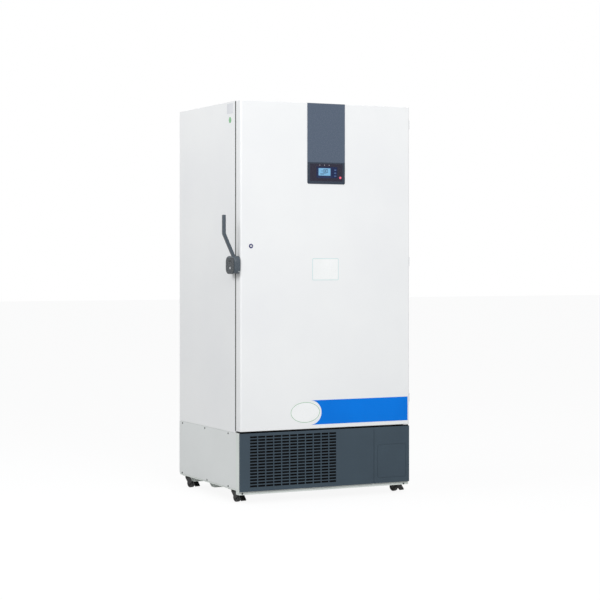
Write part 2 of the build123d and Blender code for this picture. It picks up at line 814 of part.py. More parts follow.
# Base frame: a welded pan with its front lip, four posts, side rails and two cross channels
with BuildPart() as base_frame:
    block((left + sheet, frame_front, pan_bottom), (right - sheet, frame_back, pan_top))
    block((left, frame_front, lip_bottom), (right, frame_front + frame_sheet, pan_top))
    for side, inward in ((left, 1), (right, -1)):
        near = sorted((side, side + inward * frame_sheet))
        flange = sorted((side, side + inward * post_width))
        inner = sorted((side + inward * sheet, side + inward * (sheet + frame_sheet)))
        inner_flange = sorted((side + inward * sheet, side + inward * post_width))
        block((near[0], frame_front, lip_bottom), (near[1], door_back, cabinet_bottom))
        block((flange[0], frame_front, lip_bottom), (flange[1], frame_front + frame_sheet, cabinet_bottom))
        block((inner[0], door_back - post_width / 2, pan_bottom), (inner[1], frame_back, pan_top + rail_height))
        block(
            (inner[0], door_back - post_width / 2, cabinet_bottom - rail_height),
            (inner[1], frame_back, cabinet_bottom),
        )
        block((inner[0], frame_back - post_width, pan_bottom), (inner[1], frame_back, cabinet_bottom))
        block(
            (inner_flange[0], frame_back - frame_sheet, pan_bottom),
            (inner_flange[1], frame_back, cabinet_bottom),
        )
    for channel_y in channel_places:
        with BuildSketch(facing_front(front + channel_y)):
            with BuildLine():
                Polyline(
                    (left + sheet, pan_bottom),
                    (left + sheet + channel_slant, pan_bottom - channel_depth),
                    (right - sheet - channel_slant, pan_bottom - channel_depth),
                    (right - sheet, pan_bottom),
                    close=True,
                )
            make_face()
        extrude(amount=-channel_width)
        block(
            (left, front + channel_y + frame_sheet, pan_bottom - channel_depth + frame_sheet),
            (right, front + channel_y + channel_width - frame_sheet, pan_bottom),
            Mode.SUBTRACT,
        )
save(base_frame.part, "base_frame")

# Lower side panels, hooked behind the posts and screwed to the rails
for panel_name, panel_x in (("left_side_panel", left), ("right_side_panel", right - sheet)):
    with BuildPart() as side_panel:
        block(
            (panel_x, door_back + 0.5, side_panel_bottom),
            (panel_x + sheet, back, cabinet_bottom - side_panel_gap),
        )
    save(side_panel.part, panel_name)

# Rear panel with louvre slots and the cut-out of the mains inlet
inlet_x = right - inlet_place[0]
inlet_z = inlet_place[1]
with BuildPart() as rear_panel:
    block(
        (left + sheet, frame_back, side_panel_bottom),
        (right - sheet, frame_back + sheet, cabinet_bottom - side_panel_gap),
    )
    with BuildSketch(facing_front(frame_back)):
        with Locations((middle_x - body_width / 8, (side_panel_bottom + cabinet_bottom) / 2)):
            with GridLocations(vent_slot[0] * 1.3, vent_pitch, 3, vent_rows):
                SlotOverall(*vent_slot)
        with Locations((inlet_x, inlet_z)):
            Rectangle(inlet_size[0], inlet_size[1])
    extrude(amount=-sheet, mode=Mode.SUBTRACT)
save(rear_panel.part, "rear_panel")

with BuildPart() as power_inlet:
    with BuildSketch(facing_front(frame_back + sheet)):
        with Locations((inlet_x, inlet_z)):
            RectangleRounded(inlet_size[0] + 2 * inlet_flange, inlet_size[1] + 2 * inlet_flange, 4)
    extrude(amount=-(rear_recess - 1))
    with BuildSketch(facing_front(frame_back + sheet)):
        with Locations((inlet_x, inlet_z)):
            Rectangle(inlet_size[0], inlet_size[1])
    extrude(amount=inlet_size[2])
    with BuildSketch(facing_front(frame_back + sheet + rear_recess - 1)):
        with Locations((inlet_x, inlet_z)):
            RectangleRounded(inlet_size[0] - 10, inlet_size[1] - 8, 3)
    extrude(amount=inlet_size[2] * 0.8, mode=Mode.SUBTRACT)
    with BuildSketch(facing_front(frame_back + sheet - inlet_size[2] / 2)):
        with Locations(*[(inlet_x + step, inlet_z) for step in (-9, 0, 9)]):
            Rectangle(2, 7)
    extrude(amount=inlet_size[2] / 2)
save(power_inlet.part, "power_inlet")

# Front grille: a rimmed moulding with a field of slots
grille_right = left + grille_width
with BuildPart() as front_grille:
    block((left, grille_front, grille_bottom), (grille_right, frame_front, grille_top))
    fillet(front_grille.faces().sort_by(Axis.Y)[0].edges().filter_by(Axis.Z).sort_by(Axis.X)[0], 3)
    block(
        (left + grille_wall, grille_front + grille_wall, grille_bottom + grille_wall),
        (grille_right - grille_wall, frame_front, grille_top - grille_wall),
        Mode.SUBTRACT,
    )
    field_x = left + slot_first_x + slot_pitch[0] * (slot_columns - 1) / 2
    field_z = slot_first_z - slot_pitch[1] * (slot_rows - 1) / 2
    with BuildSketch(facing_front(grille_front)):
        with Locations((field_x, field_z)):
            with GridLocations(*slot_pitch, slot_columns, slot_rows):
                Rectangle(*slot_size)
    extrude(amount=-grille_wall, mode=Mode.SUBTRACT)
save(front_grille.part, "front_grille")

# Access cover at the right of the grille, with a sunk line round its pull-off panel
cover_left = grille_right + seam_gap
with BuildPart() as access_cover:
    block((cover_left, grille_front, grille_bottom), (right, frame_front, grille_top))
    fillet(access_cover.faces().sort_by(Axis.Y)[0].edges().filter_by(Axis.Z).sort_by(Axis.X)[-1], 3)
    block(
        (cover_left + grille_wall, grille_front + grille_wall, grille_bottom + grille_wall),
        (right - grille_wall, frame_front, grille_top - grille_wall),
        Mode.SUBTRACT,
    )
    panel_x = cover_left + cover_panel_inset + cover_panel_size[0] / 2
    panel_z = grille_bottom + cover_panel_rise + cover_panel_size[1] / 2
    with BuildSketch(facing_front(grille_front)):
        with Locations((panel_x, panel_z)):
            RectangleRounded(*cover_panel_size, 12)
            RectangleRounded(
                cover_panel_size[0] - 2 * cover_groove,
                cover_panel_size[1] - 2 * cover_groove,
                12 - cover_groove,
                mode=Mode.SUBTRACT,
            )
    extrude(amount=-1.2, mode=Mode.SUBTRACT)
save(access_cover.part, "access_cover")

# Washable filter mat clipped to the back of the grille
with BuildPart() as air_filter:
    block(
        (left + grille_wall + filter_margin, grille_front + grille_wall, grille_bottom + grille_wall + 2),
        (field_x * 2 - left - grille_wall - filter_margin,
         grille_front + grille_wall + filter_thickness,
         grille_top - grille_wall - 2),
    )
save(air_filter.part, "air_filter")

# Condenser: a finned core standing on the pan
condenser_left = left + condenser_inset[0]
condenser_front = front + condenser_inset[1]
condenser_top = pan_top + condenser_size[2]
condenser_back = condenser_front + condenser_size[1]
with BuildPart() as condenser:
    block(
        (condenser_left, condenser_front, pan_top),
        (condenser_left + condenser_size[0], condenser_back, condenser_top),
    )
    fin_pitch = condenser_size[0] / fin_count
    for fin in range(1, fin_count):
        fin_x = condenser_left + fin * fin_pitch
        block(
            (fin_x - fin_pitch / 4, condenser_front, pan_top + fin_depth),
            (fin_x + fin_pitch / 4, condenser_front + fin_depth, condenser_top - fin_depth),
            Mode.SUBTRACT,
        )
save(condenser.part, "condenser")

# Fan shroud, motor on its spider, and the fan on the motor's shaft
fan_x = condenser_left + condenser_size[0] / 2
fan_z = (pan_top + condenser_top) / 2
shroud_back = condenser_back + shroud_depth
with BuildPart() as fan_shroud:
    block(
        (condenser_left, condenser_back, pan_top),
        (condenser_left + condenser_size[0], shroud_back, condenser_top),
    )
    block(
        (condenser_left + frame_sheet, condenser_back, pan_top + frame_sheet),
        (condenser_left + condenser_size[0] - frame_sheet, shroud_back - frame_sheet, condenser_top - frame_sheet),
        Mode.SUBTRACT,
    )
    with BuildSketch(facing_front(shroud_back - frame_sheet)):
        with Locations((fan_x, fan_z)):
            Circle(fan_radius + fan_tip_gap)
    extrude(amount=-frame_sheet, mode=Mode.SUBTRACT)
save(fan_shroud.part, "fan_shroud")

fan_back = shroud_back - frame_sheet
motor_front = fan_back + 4
with BuildPart() as fan_motor:
    with BuildSketch(facing_front(motor_front)):
        with Locations((fan_x, fan_z)):
            Circle(motor_radius)
    extrude(amount=-motor_length)
    fillet(fan_motor.faces().sort_by(Axis.Y)[-1].edges(), 6)
    with BuildSketch(facing_front(motor_front)):
        with Locations((fan_x, fan_z)):
            Circle(motor_shaft_radius)
    extrude(amount=fan_hub_length)
    arm_reach = fan_radius + fan_tip_gap + 12
    with BuildSketch(facing_front(motor_front + 10)):
        with Locations((fan_x, fan_z)):
            Rectangle(2 * arm_reach, 12)
    extrude(amount=-4)
    for arm_side in (-1, 1):
        foot_x = fan_x + arm_side * arm_reach
        block(
            (foot_x - 6, shroud_back, fan_z - 6),
            (foot_x + 6, motor_front + 14, fan_z + 6),
        )
save(fan_motor.part, "fan_motor")

with BuildPart() as fan:
    with BuildSketch(facing_front(fan_back - fan_hub_length)):
        with Locations((fan_x, fan_z)):
            Circle(fan_hub_radius)
    extrude(amount=-fan_hub_length)
    blade_length = fan_radius - fan_hub_radius + 4
    blade_middle = fan_hub_radius - 4 + blade_length / 2
    for blade in range(fan_blade_count):
        angle = radians(360 / fan_blade_count * blade)
        outward = Vector(cos(angle), 0, sin(angle))
        around = Vector(-sin(angle), 0, cos(angle))
        blade_plane = Plane(
            origin=(fan_x, fan_back - fan_hub_length / 2, fan_z),
            x_dir=outward,
            z_dir=around * sin(radians(fan_blade_pitch)) - Vector(0, cos(radians(fan_blade_pitch)), 0),
        )
        with BuildSketch(blade_plane):
            with Locations((blade_middle, 0)):
                RectangleRounded(blade_length, 34, 8)
        extrude(amount=1, both=True)
    with BuildSketch(facing_front(fan_back)):
        with Locations((fan_x, fan_z)):
            Circle(motor_shaft_radius + running_gap)
    extrude(amount=fan_hub_length, mode=Mode.SUBTRACT)
save(fan.part, "fan")

# Two hermetic compressors of the cascade, on their feet
with BuildPart() as compressors:
    for place in compressor_places:
        place_x = left + place[0]
        place_y = front + place[1]
        base_z = pan_top + compressor_foot_height
        with BuildSketch(Plane.XY.offset(base_z)):
            with Locations((place_x, place_y)):
                Circle(compressor_radius)
        extrude(amount=compressor_height)
        foot_span = compressor_radius * 1.9
        block(
            (place_x - foot_span / 2, place_y - foot_span / 2, base_z),
            (place_x + foot_span / 2, place_y + foot_span / 2, base_z + 3),
        )
        with BuildSketch(Plane.XY.offset(pan_top)):
            with Locations((place_x, place_y)):
                with GridLocations(foot_span - 24, foot_span - 24, 2, 2):
                    Circle(9)
        extrude(amount=compressor_foot_height)
    fillet(compressors.faces().filter_by(Axis.Z).sort_by(Axis.Z)[-2:].edges(), 28)
save(compressors.part, "compressors")

# Cascade heat exchanger in its insulation jacket
exchanger_x = left + exchanger_place[0]
exchanger_y = front + exchanger_place[1]
with BuildPart() as heat_exchanger:
    with BuildSketch(Plane.XY.offset(pan_top)):
        with Locations((exchanger_x, exchanger_y)):
            Circle(exchanger_radius)
    extrude(amount=exchanger_height)
    fillet(heat_exchanger.faces().sort_by(Axis.Z)[-1].edges(), 10)
save(heat_exchanger.part, "heat_exchanger")

# Copper lines: discharge to the condenser, and from both pots to the heat exchanger
tube_z = pan_top + compressor_foot_height + compressor_height / 2
first_x = left + compressor_places[0][0]
second_x = left + compressor_places[1][0]
pots_y = front + compressor_places[0][1]
tube_routes = (
    (
        (first_x, pots_y - compressor_radius, tube_z),
        (first_x, condenser_back + 200, tube_z),
        (condenser_left + 15, condenser_back + 200, tube_z),
        (condenser_left + 15, shroud_back, tube_z),
    ),
    (
        (first_x + compressor_radius, pots_y, tube_z),
        (second_x - compressor_radius, pots_y, tube_z),
    ),
    (
        (second_x + compressor_radius, pots_y, tube_z),
        (exchanger_x, pots_y, tube_z),
        (exchanger_x, exchanger_y - exchanger_radius, tube_z),
    ),
)
with BuildPart() as pipework:
    for route in tube_routes:
        with BuildLine() as tube_path:
            if len(route) > 2:
                FilletPolyline(*route, radius=3 * tube_radius)
            else:
                Polyline(*route)
        tube_start = Plane(origin=tube_path.line @ 0, z_dir=tube_path.line % 0)
        with BuildSketch(tube_start):
            Circle(tube_radius)
        sweep(path=tube_path.line)
save(pipework.part, "pipework")

# Electrical box and back-up battery behind the access cover
box_right = right - electrical_box_inset[0]
box_front = front + electrical_box_inset[1]
with BuildPart() as electrical_box:
    block(
        (box_right - electrical_box_size[0], box_front, pan_top),
        (box_right, box_front + electrical_box_size[1], pan_top + electrical_box_size[2]),
    )
    fillet(electrical_box.edges().filter_by(Axis.Z), 6)
save(electrical_box.part, "electrical_box")

battery_front = box_front + electrical_box_size[1] + battery_gap
with BuildPart() as backup_battery:
    block(
        (box_right - battery_size[0], battery_front, pan_top),
        (box_right, battery_front + battery_size[1], pan_top + battery_size[2]),
    )
    with BuildSketch(Plane.XY.offset(pan_top + battery_size[2])):
        with Locations((box_right - battery_size[0] / 2, battery_front + battery_size[1] / 2)):
            with GridLocations(battery_size[0] - 20, 1, 2, 1):
                Rectangle(7, 7)
    extrude(amount=6)
save(backup_battery.part, "backup_battery")

# Casters: a fixed plate with the king pin, a swivelling fork with the axle, a wheel and a brake pedal
caster_places = {
    "front_left": (left + caster_inset_x, front + caster_front),
    "front_right": (right - caster_inset_x, front + caster_front),
    "rear_left": (left + caster_inset_x, back - caster_rear),
    "rear_right": (right - caster_inset_x, back - caster_rear),
}
plate_bottom = pan_bottom - plate_thickness
race_bottom = plate_bottom - race_height
crown_top = race_bottom - seat_gap
crown_bottom = crown_top - crown_height
leg_inner = wheel_width / 2 + fork_gap
leg_outer = leg_inner + fork_sheet


def caster_plane(name):
    """The wheel's own plane: its X runs from the king pin along the trail, its Y goes up."""
    turn = radians(caster_headings[name])
    place_x, place_y = caster_places[name]
    return Plane(origin=(place_x, place_y, 0), x_dir=(cos(turn), sin(turn), 0), z_dir=(sin(turn), -cos(turn), 0))


with BuildPart() as caster_plates:
    for place in caster_places.values():
        with BuildSketch(Plane.XY.offset(plate_bottom)):
            with Locations(place):
                RectangleRounded(plate_size, plate_size, 5)
                with GridLocations(plate_hole_spacing, plate_hole_spacing, 2, 2):
                    Circle(plate_hole_radius, mode=Mode.SUBTRACT)
        extrude(amount=plate_thickness)
        with BuildSketch(Plane.XY.offset(race_bottom)):
            with Locations(place):
                Circle(crown_radius - 1)
        extrude(amount=race_height)
        with BuildSketch(Plane.XY.offset(crown_bottom - seat_gap)):
            with Locations(place):
                Circle(king_radius)
        extrude(amount=race_bottom - crown_bottom + seat_gap)
        with BuildSketch(Plane.XY.offset(crown_bottom - seat_gap)):
            with Locations(place):
                Circle(king_radius + 2.5)
        extrude(amount=-2)
save(caster_plates.part, "caster_plates")


def make_fork(name):
    """Crown, two legs shaped to reach the axle and the pedal's pin, and both pins."""
    plane = caster_plane(name)
    with BuildPart() as fork:
        with BuildSketch(Plane.XY.offset(crown_bottom)):
            with Locations(caster_places[name]):
                Circle(crown_radius)
                Circle(king_radius + running_gap, mode=Mode.SUBTRACT)
        extrude(amount=crown_height)
        for start in (leg_inner, -leg_outer):
            with BuildSketch(plane.offset(start)):
                with Locations((trail, wheel_radius)):
                    Circle(2 * axle_radius)
                with Locations(pedal_pivot):
                    Circle(2 * pedal_pin_radius)
                with Locations((0, crown_bottom + crown_height / 2)):
                    Rectangle(crown_radius * 1.5, crown_height)
                make_hull()
            extrude(amount=fork_sheet)
        with BuildSketch(plane.offset(-leg_outer)):
            with Locations((trail, wheel_radius)):
                Circle(axle_radius)
            with Locations(pedal_pivot):
                Circle(pedal_pin_radius)
        extrude(amount=2 * leg_outer)
    return fork.part


def make_wheel(name):
    """A solid tyre with a rounded tread and a sunk hub on each face."""
    plane = caster_plane(name)
    with BuildPart() as wheel:
        with BuildSketch(plane.offset(-wheel_width / 2)):
            with Locations((trail, wheel_radius)):
                Circle(wheel_radius)
        extrude(amount=wheel_width)
        fillet(wheel.edges().filter_by(GeomType.CIRCLE), 3)
        for start, amount in ((-wheel_width / 2, wheel_groove), (wheel_width / 2, -wheel_groove)):
            with BuildSketch(plane.offset(start)):
                with Locations((trail, wheel_radius)):
                    Circle(wheel_radius * 0.68)
                    Circle(wheel_radius * 0.3, mode=Mode.SUBTRACT)
            extrude(amount=amount, mode=Mode.SUBTRACT)
        with BuildSketch(plane.offset(-wheel_width / 2)):
            with Locations((trail, wheel_radius)):
                Circle(axle_radius + running_gap)
        extrude(amount=wheel_width, mode=Mode.SUBTRACT)
    return wheel.part


def make_pedal(name):
    """A barrel on the pedal's pin with a tongue that slopes down away from the wheel."""
    plane = caster_plane(name)
    with BuildPart() as pedal:
        with BuildSketch(plane.offset(-wheel_width / 2)):
            with Locations(pedal_pivot):
                Circle(pedal_barrel_radius)
            with BuildLine():
                Polyline(
                    (pedal_pivot[0], pedal_pivot[1] + pedal_barrel_radius),
                    (pedal_pivot[0] + 14, pedal_pivot[1] - 1),
                    (pedal_tip[0], pedal_tip[1]),
                    (pedal_tip[0] - 2, pedal_tip[1] - pedal_thickness),
                    (pedal_pivot[0] + 12, pedal_pivot[1] - 14),
                    (pedal_pivot[0], pedal_pivot[1] - pedal_barrel_radius),
                    close=True,
                )
            make_face()
        extrude(amount=wheel_width)
        with BuildSketch(plane.offset(-pedal_width / 2)):
            with BuildLine():
                Polyline(
                    (pedal_pivot[0] + 14, pedal_pivot[1] - 1),
                    (pedal_tip[0], pedal_tip[1]),
                    (pedal_tip[0] - 2, pedal_tip[1] - pedal_thickness),
                    (pedal_pivot[0] + 12, pedal_pivot[1] - 14),
                    close=True,
                )
            make_face()
        extrude(amount=pedal_width)
        with BuildSketch(plane.offset(-pedal_width / 2)):
            with Locations(pedal_pivot):
                Circle(pedal_pin_radius + running_gap)
        extrude(amount=pedal_width, mode=Mode.SUBTRACT)
    return pedal.part


for caster_name in caster_places:
    save(make_fork(caster_name), f"caster_fork_{caster_name}")
    save(make_wheel(caster_name), f"caster_wheel_{caster_name}")
    save(make_pedal(caster_name), f"caster_pedal_{caster_name}")
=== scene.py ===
# %% [markdown]
# This lesson dresses a tall white laboratory freezer. Its cabinet, doors, latch, grille and casters
# come as finished solids in metres, so here we only give them real surfaces, add the films, screws
# and other trim that are too fine for the solids, and light them as in a plain studio.

# %% Load the solids
import json
from math import cos, pi, radians, sin

import bmesh
import bpy
from mathutils import Matrix, Vector


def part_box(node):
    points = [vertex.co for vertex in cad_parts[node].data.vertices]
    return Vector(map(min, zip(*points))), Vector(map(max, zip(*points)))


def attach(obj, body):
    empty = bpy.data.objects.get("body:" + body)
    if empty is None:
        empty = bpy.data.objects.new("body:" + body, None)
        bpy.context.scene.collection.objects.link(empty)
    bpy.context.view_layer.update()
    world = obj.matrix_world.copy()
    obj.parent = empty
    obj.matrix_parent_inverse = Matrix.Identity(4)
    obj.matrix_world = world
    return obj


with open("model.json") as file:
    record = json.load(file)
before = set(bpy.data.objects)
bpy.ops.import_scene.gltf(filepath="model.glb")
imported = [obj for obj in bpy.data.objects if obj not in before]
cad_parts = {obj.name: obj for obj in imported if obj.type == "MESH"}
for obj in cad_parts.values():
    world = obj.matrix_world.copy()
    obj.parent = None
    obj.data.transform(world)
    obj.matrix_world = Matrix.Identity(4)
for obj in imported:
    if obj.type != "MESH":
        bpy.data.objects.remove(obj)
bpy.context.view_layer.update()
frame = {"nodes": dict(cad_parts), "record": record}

# %% [markdown]
# Everything that is stuck or screwed on is placed from the solids themselves. We read their corners
# once, so that a film keeps its distance from the door's left edge and from the floor. The five
# directions are named once too, as seen by someone who stands in front of the door.

# %% Places read from the solids
mm = 0.001
door_low, door_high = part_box("door_shell")
cabinet_low, cabinet_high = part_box("cabinet_shell")
housing_low, housing_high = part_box("control_housing")
fascia_low, fascia_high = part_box("control_fascia")
rear_low, rear_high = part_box("rear_panel")
left, right = door_low.x, door_high.x
front, back = door_low.y, cabinet_high.y

TO_LEFT, TO_RIGHT = Vector((-1, 0, 0)), Vector((1, 0, 0))
TO_FRONT, TO_BACK = Vector((0, -1, 0)), Vector((0, 1, 0))
UP = Vector((0, 0, 1))
print("body", round(right - left, 4), "wide", round(back - front, 4), "deep", round(door_high.z, 4), "high")

# %% [markdown]
# A colour picker shows sRGB, but shaders work on linear light. One function turns a hex colour into
# linear values. A second one adds a node, sets its inputs and links them, which keeps every
# material below to a few readable lines.

# %% Colour and node helpers
WHITE, BLACK = (1, 1, 1, 1), (0, 0, 0, 1)


def linear(hex_colour):
    """An sRGB hex colour as linear RGBA, by the formula of the sRGB standard."""
    parts = [int(hex_colour[start:start + 2], 16) / 255 for start in (1, 3, 5)]
    return tuple(part / 12.92 if part <= 0.04045 else ((part + 0.055) / 1.055) ** 2.4
                 for part in parts) + (1.0,)


def link_inputs(tree, node, links):
    """Links each named or numbered input of a node to its source."""
    for key, source in links.items():
        tree.links.new(source, node.inputs[key])


def add_node(tree, kind, settings=None, links=None):
    """Adds a shader node, with its settings and input values by name or number, and its links."""
    node = tree.nodes.new(kind)
    for key, value in (settings or {}).items():
        if isinstance(key, int) or key in node.inputs:
            node.inputs[key].default_value = value
        else:
            setattr(node, key, value)
    link_inputs(tree, node, links or {})
    return node


def cleared_tree(owner):
    """The empty node tree of a material or a world."""
    owner.use_nodes = True
    owner.node_tree.nodes.clear()
    return owner.node_tree


def new_material(name, settings):
    """A material with one Principled shader, whose uniform values stay on its own sockets."""
    material = bpy.data.materials.new(name)
    tree = cleared_tree(material)
    shader = add_node(tree, "ShaderNodeBsdfPrincipled", settings)
    add_node(tree, "ShaderNodeOutputMaterial", links={"Surface": shader.outputs[0]})
    print("material", name)
    return material, tree, shader


# %% [markdown]
# A few kinds of node come back in every recipe, so each gets a helper that returns its result. A Mix
# node has sockets for every type of data, one after another. Its colours are at 6 and 7, and the
# mixed colour comes out at 2.

# %% Node recipes that come back
MIX_FIRST, MIX_SECOND, MIX_RESULT = 6, 7, 2


def object_place(tree):
    """The place of a point in its object's own frame, in metres."""
    return add_node(tree, "ShaderNodeTexCoord").outputs["Object"]


def noise(tree, place, size, detail=2.0):
    """A noise with lumps of about the given size, in metres."""
    settings = {"Scale": 1 / size, "Detail": detail}
    return add_node(tree, "ShaderNodeTexNoise", settings, {"Vector": place}).outputs[0]


def ranged(tree, value, goal, source=(0.0, 1.0)):
    """Carries a value from the source range over to the goal range."""
    limits = {"From Min": source[0], "From Max": source[1], "To Min": goal[0], "To Max": goal[1]}
    return add_node(tree, "ShaderNodeMapRange", limits, {"Value": value}).outputs[0]


def mixed(tree, share, first, second):
    """The first colour where the share is zero, the second one where it is one."""
    colours = {"data_type": "RGBA", MIX_FIRST: first, MIX_SECOND: second}
    return add_node(tree, "ShaderNodeMix", colours, {0: share}).outputs[MIX_RESULT]


def bumped(tree, height, strength, depth):
    """A normal that shades the height as a relief of the given depth, in metres."""
    settings = {"Strength": strength, "Distance": depth}
    return add_node(tree, "ShaderNodeBump", settings, {"Height": height}).outputs[0]


def maths(tree, operation, first, second):
    """The result of a Math node. The second term is a fixed number or a socket."""
    if isinstance(second, float):
        node = add_node(tree, "ShaderNodeMath", {"operation": operation, 1: second}, {0: first})
    else:
        node = add_node(tree, "ShaderNodeMath", {"operation": operation}, {0: first, 1: second})
    return node.outputs[0]


# %% [markdown]
# Most of this product is either powder coat or moulded plastic. Both have a fine grain, a gloss that
# wanders a little, and a tone that isn't quite even over a large panel. One noise drives the tone,
# and a finer one drives the gloss and the grain. The grain is drawn a few millimetres wide, coarser
# than the real half millimetre, because a finer one would fall between the picture's pixels.

# %% Recipe for coatings and mouldings
def grained(name, main, second, roughness, grain, depth, patch=0.35, spread=0.05, specular=0.5, extra=None):
    """A coating or moulding: fine grain, patches of a second tone and uneven gloss. Sizes in metres."""
    material, tree, shader = new_material(name, {"Specular IOR Level": specular, **(extra or {})})
    place = object_place(tree)
    share = ranged(tree, noise(tree, place, patch, detail=3.0), (0.0, 1.0), (0.35, 0.65))
    speckle = noise(tree, place, grain)
    link_inputs(tree, shader, {
        "Base Color": mixed(tree, share, linear(main), linear(second)),
        "Roughness": ranged(tree, speckle, (roughness - spread, roughness + spread), (0.3, 0.7)),
        "Normal": bumped(tree, speckle, 1.0, depth),
    })
    return material


# %% [markdown]
# Drawn, rolled or brushed metal has fine lines that run one way. Stretching the noise along that way
# draws them, and the same lines set the gloss and a shallow relief. A metal keeps the default IOR.

# %% Recipe for brushed and drawn metal
def brushed(name, main, second, roughness, line, stretch, depth=0.02 * mm, spread=0.08):
    """A bare metal with lines about one line width apart, drawn out by the stretch along X, Y and Z."""
    material, tree, shader = new_material(name, {"Metallic": 1.0})
    squeeze = tuple(1 / part for part in stretch)
    drawn = add_node(tree, "ShaderNodeMapping", {"Scale": squeeze}, {"Vector": object_place(tree)}).outputs[0]
    lines = noise(tree, drawn, line, detail=3.0)
    share = ranged(tree, lines, (0.0, 1.0), (0.3, 0.7))
    link_inputs(tree, shader, {
        "Base Color": mixed(tree, share, linear(main), linear(second)),
        "Roughness": ranged(tree, share, (roughness - spread, roughness + spread)),
        "Normal": bumped(tree, lines, 0.6, depth),
    })
    return material


finishes = {}

# %% [markdown]
# The cabinet, the door and the panels are sheet steel with a white powder coat, baked on, so they
# have a soft sheen and a faint orange peel. In the photo the lower panels look a little greyer, and
# the frame under them greener, so each gets a tone of its own.

# %% White powder coat on steel
finishes["white_steel"] = grained(
    "powder_coat_white", "#eeefef", "#eaebec", roughness=0.42, grain=5 * mm, depth=0.03 * mm, patch=0.5)
finishes["panel_white"] = grained(
    "powder_coat_panel", "#e0e3e2", "#dbdedd", roughness=0.45, grain=5 * mm, depth=0.03 * mm, patch=0.4)
finishes["frame_steel"] = grained(
    "powder_coat_frame", "#e1e6e2", "#d6dcd7", roughness=0.48, grain=4 * mm, depth=0.03 * mm, patch=0.2)

# %% [markdown]
# The chamber and its shelves are stainless steel with a mill brush, and the brackets of the latch
# are zinc plated, which is duller and bluer with a mottled bloom.

# %% Stainless steel and zinc plate
finishes["stainless"] = brushed(
    "stainless_brushed", "#c3c5c7", "#b7babc", roughness=0.36, line=1.5 * mm, stretch=(40, 1, 1))
finishes["zinc"] = brushed(
    "zinc_plated_steel", "#c2c5c4", "#a4a9ab", roughness=0.42, line=6 * mm, stretch=(1, 1, 1.5))

# %% [markdown]
# Polyurethane foam fills the walls. It is cream coloured, dull and finely pored, and nobody sees it
# unless the freezer is cut open, but it still gets its own surface.

# %% Rigid polyurethane foam
finishes["foam"] = grained(
    "polyurethane_foam", "#e6dcb9", "#d6c896", roughness=0.9, grain=2 * mm, depth=0.4 * mm, patch=0.08)

# %% [markdown]
# The frame of the opening and the pan on the back of the door are moulded ABS in pale grey, and the
# inner doors are vacuum formed in a whiter one. Both are satin with a light grain.

# %% Pale moulded ABS
finishes["throat_plastic"] = grained(
    "abs_moulded_grey", "#d4d7d9", "#cccfd2", roughness=0.4, grain=3 * mm, depth=0.03 * mm)
finishes["inner_door_plastic"] = grained(
    "abs_formed_white", "#eceeef", "#e4e7e9", roughness=0.36, grain=6 * mm, depth=0.04 * mm)

# %% [markdown]
# The door seal is extruded silicone, matt, grey and slightly dusty. It is in sight when the door is open. The
# near-black lip that shows all round the closed door, in painted shade, comes later.

# %% Silicone gasket
finishes["gasket_rubber"] = grained(
    "silicone_gasket", "#46494a", "#3e4142", roughness=0.7, grain=2 * mm, depth=0.05 * mm, patch=0.1)

# %% [markdown]
# The grille and its cover are one slate grey ABS, moulded against a spark-eroded tool, so they have
# an even matt grain.

# %% Slate mouldings
finishes["slate_plastic"] = grained(
    "abs_slate_grained", "#3a4954", "#36444f", roughness=0.5, grain=3 * mm, depth=0.06 * mm, patch=0.25,
    specular=0.3)

# %% [markdown]
# The locks are polished and chrome plated. A clean mirror would look like a hole in a plain studio,
# so fine turning lines spread its reflection.

# %% Chromed lock parts
finishes["lock_metal"] = brushed(
    "chrome_turned", "#e2e3e6", "#cfd1d5", roughness=0.16, line=0.8 * mm, stretch=(1, 1, 1), spread=0.05)

# %% [markdown]
# The ring of the door's lock is anodised dark blue. Anodising dyes the oxide layer on the aluminium,
# which hides most of the metal, so only a small share of the look is metallic.

# %% Blue anodised lock ring
finishes["ring_blue"] = grained(
    "anodised_blue", "#040a66", "#030754", roughness=0.35, grain=1 * mm, depth=0.01 * mm, patch=0.02,
    specular=0.2, extra={"Metallic": 0.1})

# %% [markdown]
# The alarm lamp is a clear red lens with a lit diode behind it, so it needs a little light of its own
# to look pink in the middle. A small coat gives it the hard highlight of polished acrylic.

# %% Red alarm lamp
lamp_glow = {"Emission Color": linear("#ff7f9d"), "Emission Strength": 0.45, "Coat Weight": 0.5}
finishes["lamp_red"] = grained(
    "acrylic_red_lit", "#d8334f", "#c62a48", roughness=0.2, grain=2 * mm, depth=0.02 * mm, patch=0.01,
    extra=lamp_glow)

# %% [markdown]
# The keys are moulded in blue and stand out of a navy film. They are small, so a gentle tone and a
# soft gloss are enough.

# %% Blue keys
finishes["key_plastic"] = grained(
    "abs_blue_key", "#45608c", "#3b5580", roughness=0.3, grain=1 * mm, depth=0.01 * mm, patch=0.01)

# %% [markdown]
# Caster wheels are black rubber, with patches of a greyer black as on a scuffed tread. Their pedals
# are glass filled nylon, and their forks are pressed steel in black enamel.

# %% Black caster materials
finishes["caster_black"] = grained(
    "rubber_black", "#0c0d0d", "#17181a", roughness=0.62, grain=3 * mm, depth=0.08 * mm, patch=0.02,
    spread=0.1)
finishes["pedal_black"] = grained(
    "nylon_black", "#070808", "#0d0e0e", roughness=0.45, grain=2 * mm, depth=0.05 * mm, patch=0.02,
    specular=0.3)
finishes["caster_steel"] = grained(
    "enamel_black_caster", "#0b0c0d", "#121415", roughness=0.36, grain=3 * mm, depth=0.03 * mm, patch=0.02,
    specular=0.35)
finishes["black_steel"] = grained(
    "enamel_black", "#1d1e20", "#141516", roughness=0.35, grain=5 * mm, depth=0.04 * mm, patch=0.1)

# %% [markdown]
# Behind the grille hang an open filter mat, aluminium fins and copper lines. The mat is nearly black,
# the fins are finely ribbed, and the copper is mottled with the brown of brazing. Insulated lines
# wear a jacket of black foam, and small housings there are grey nylon.

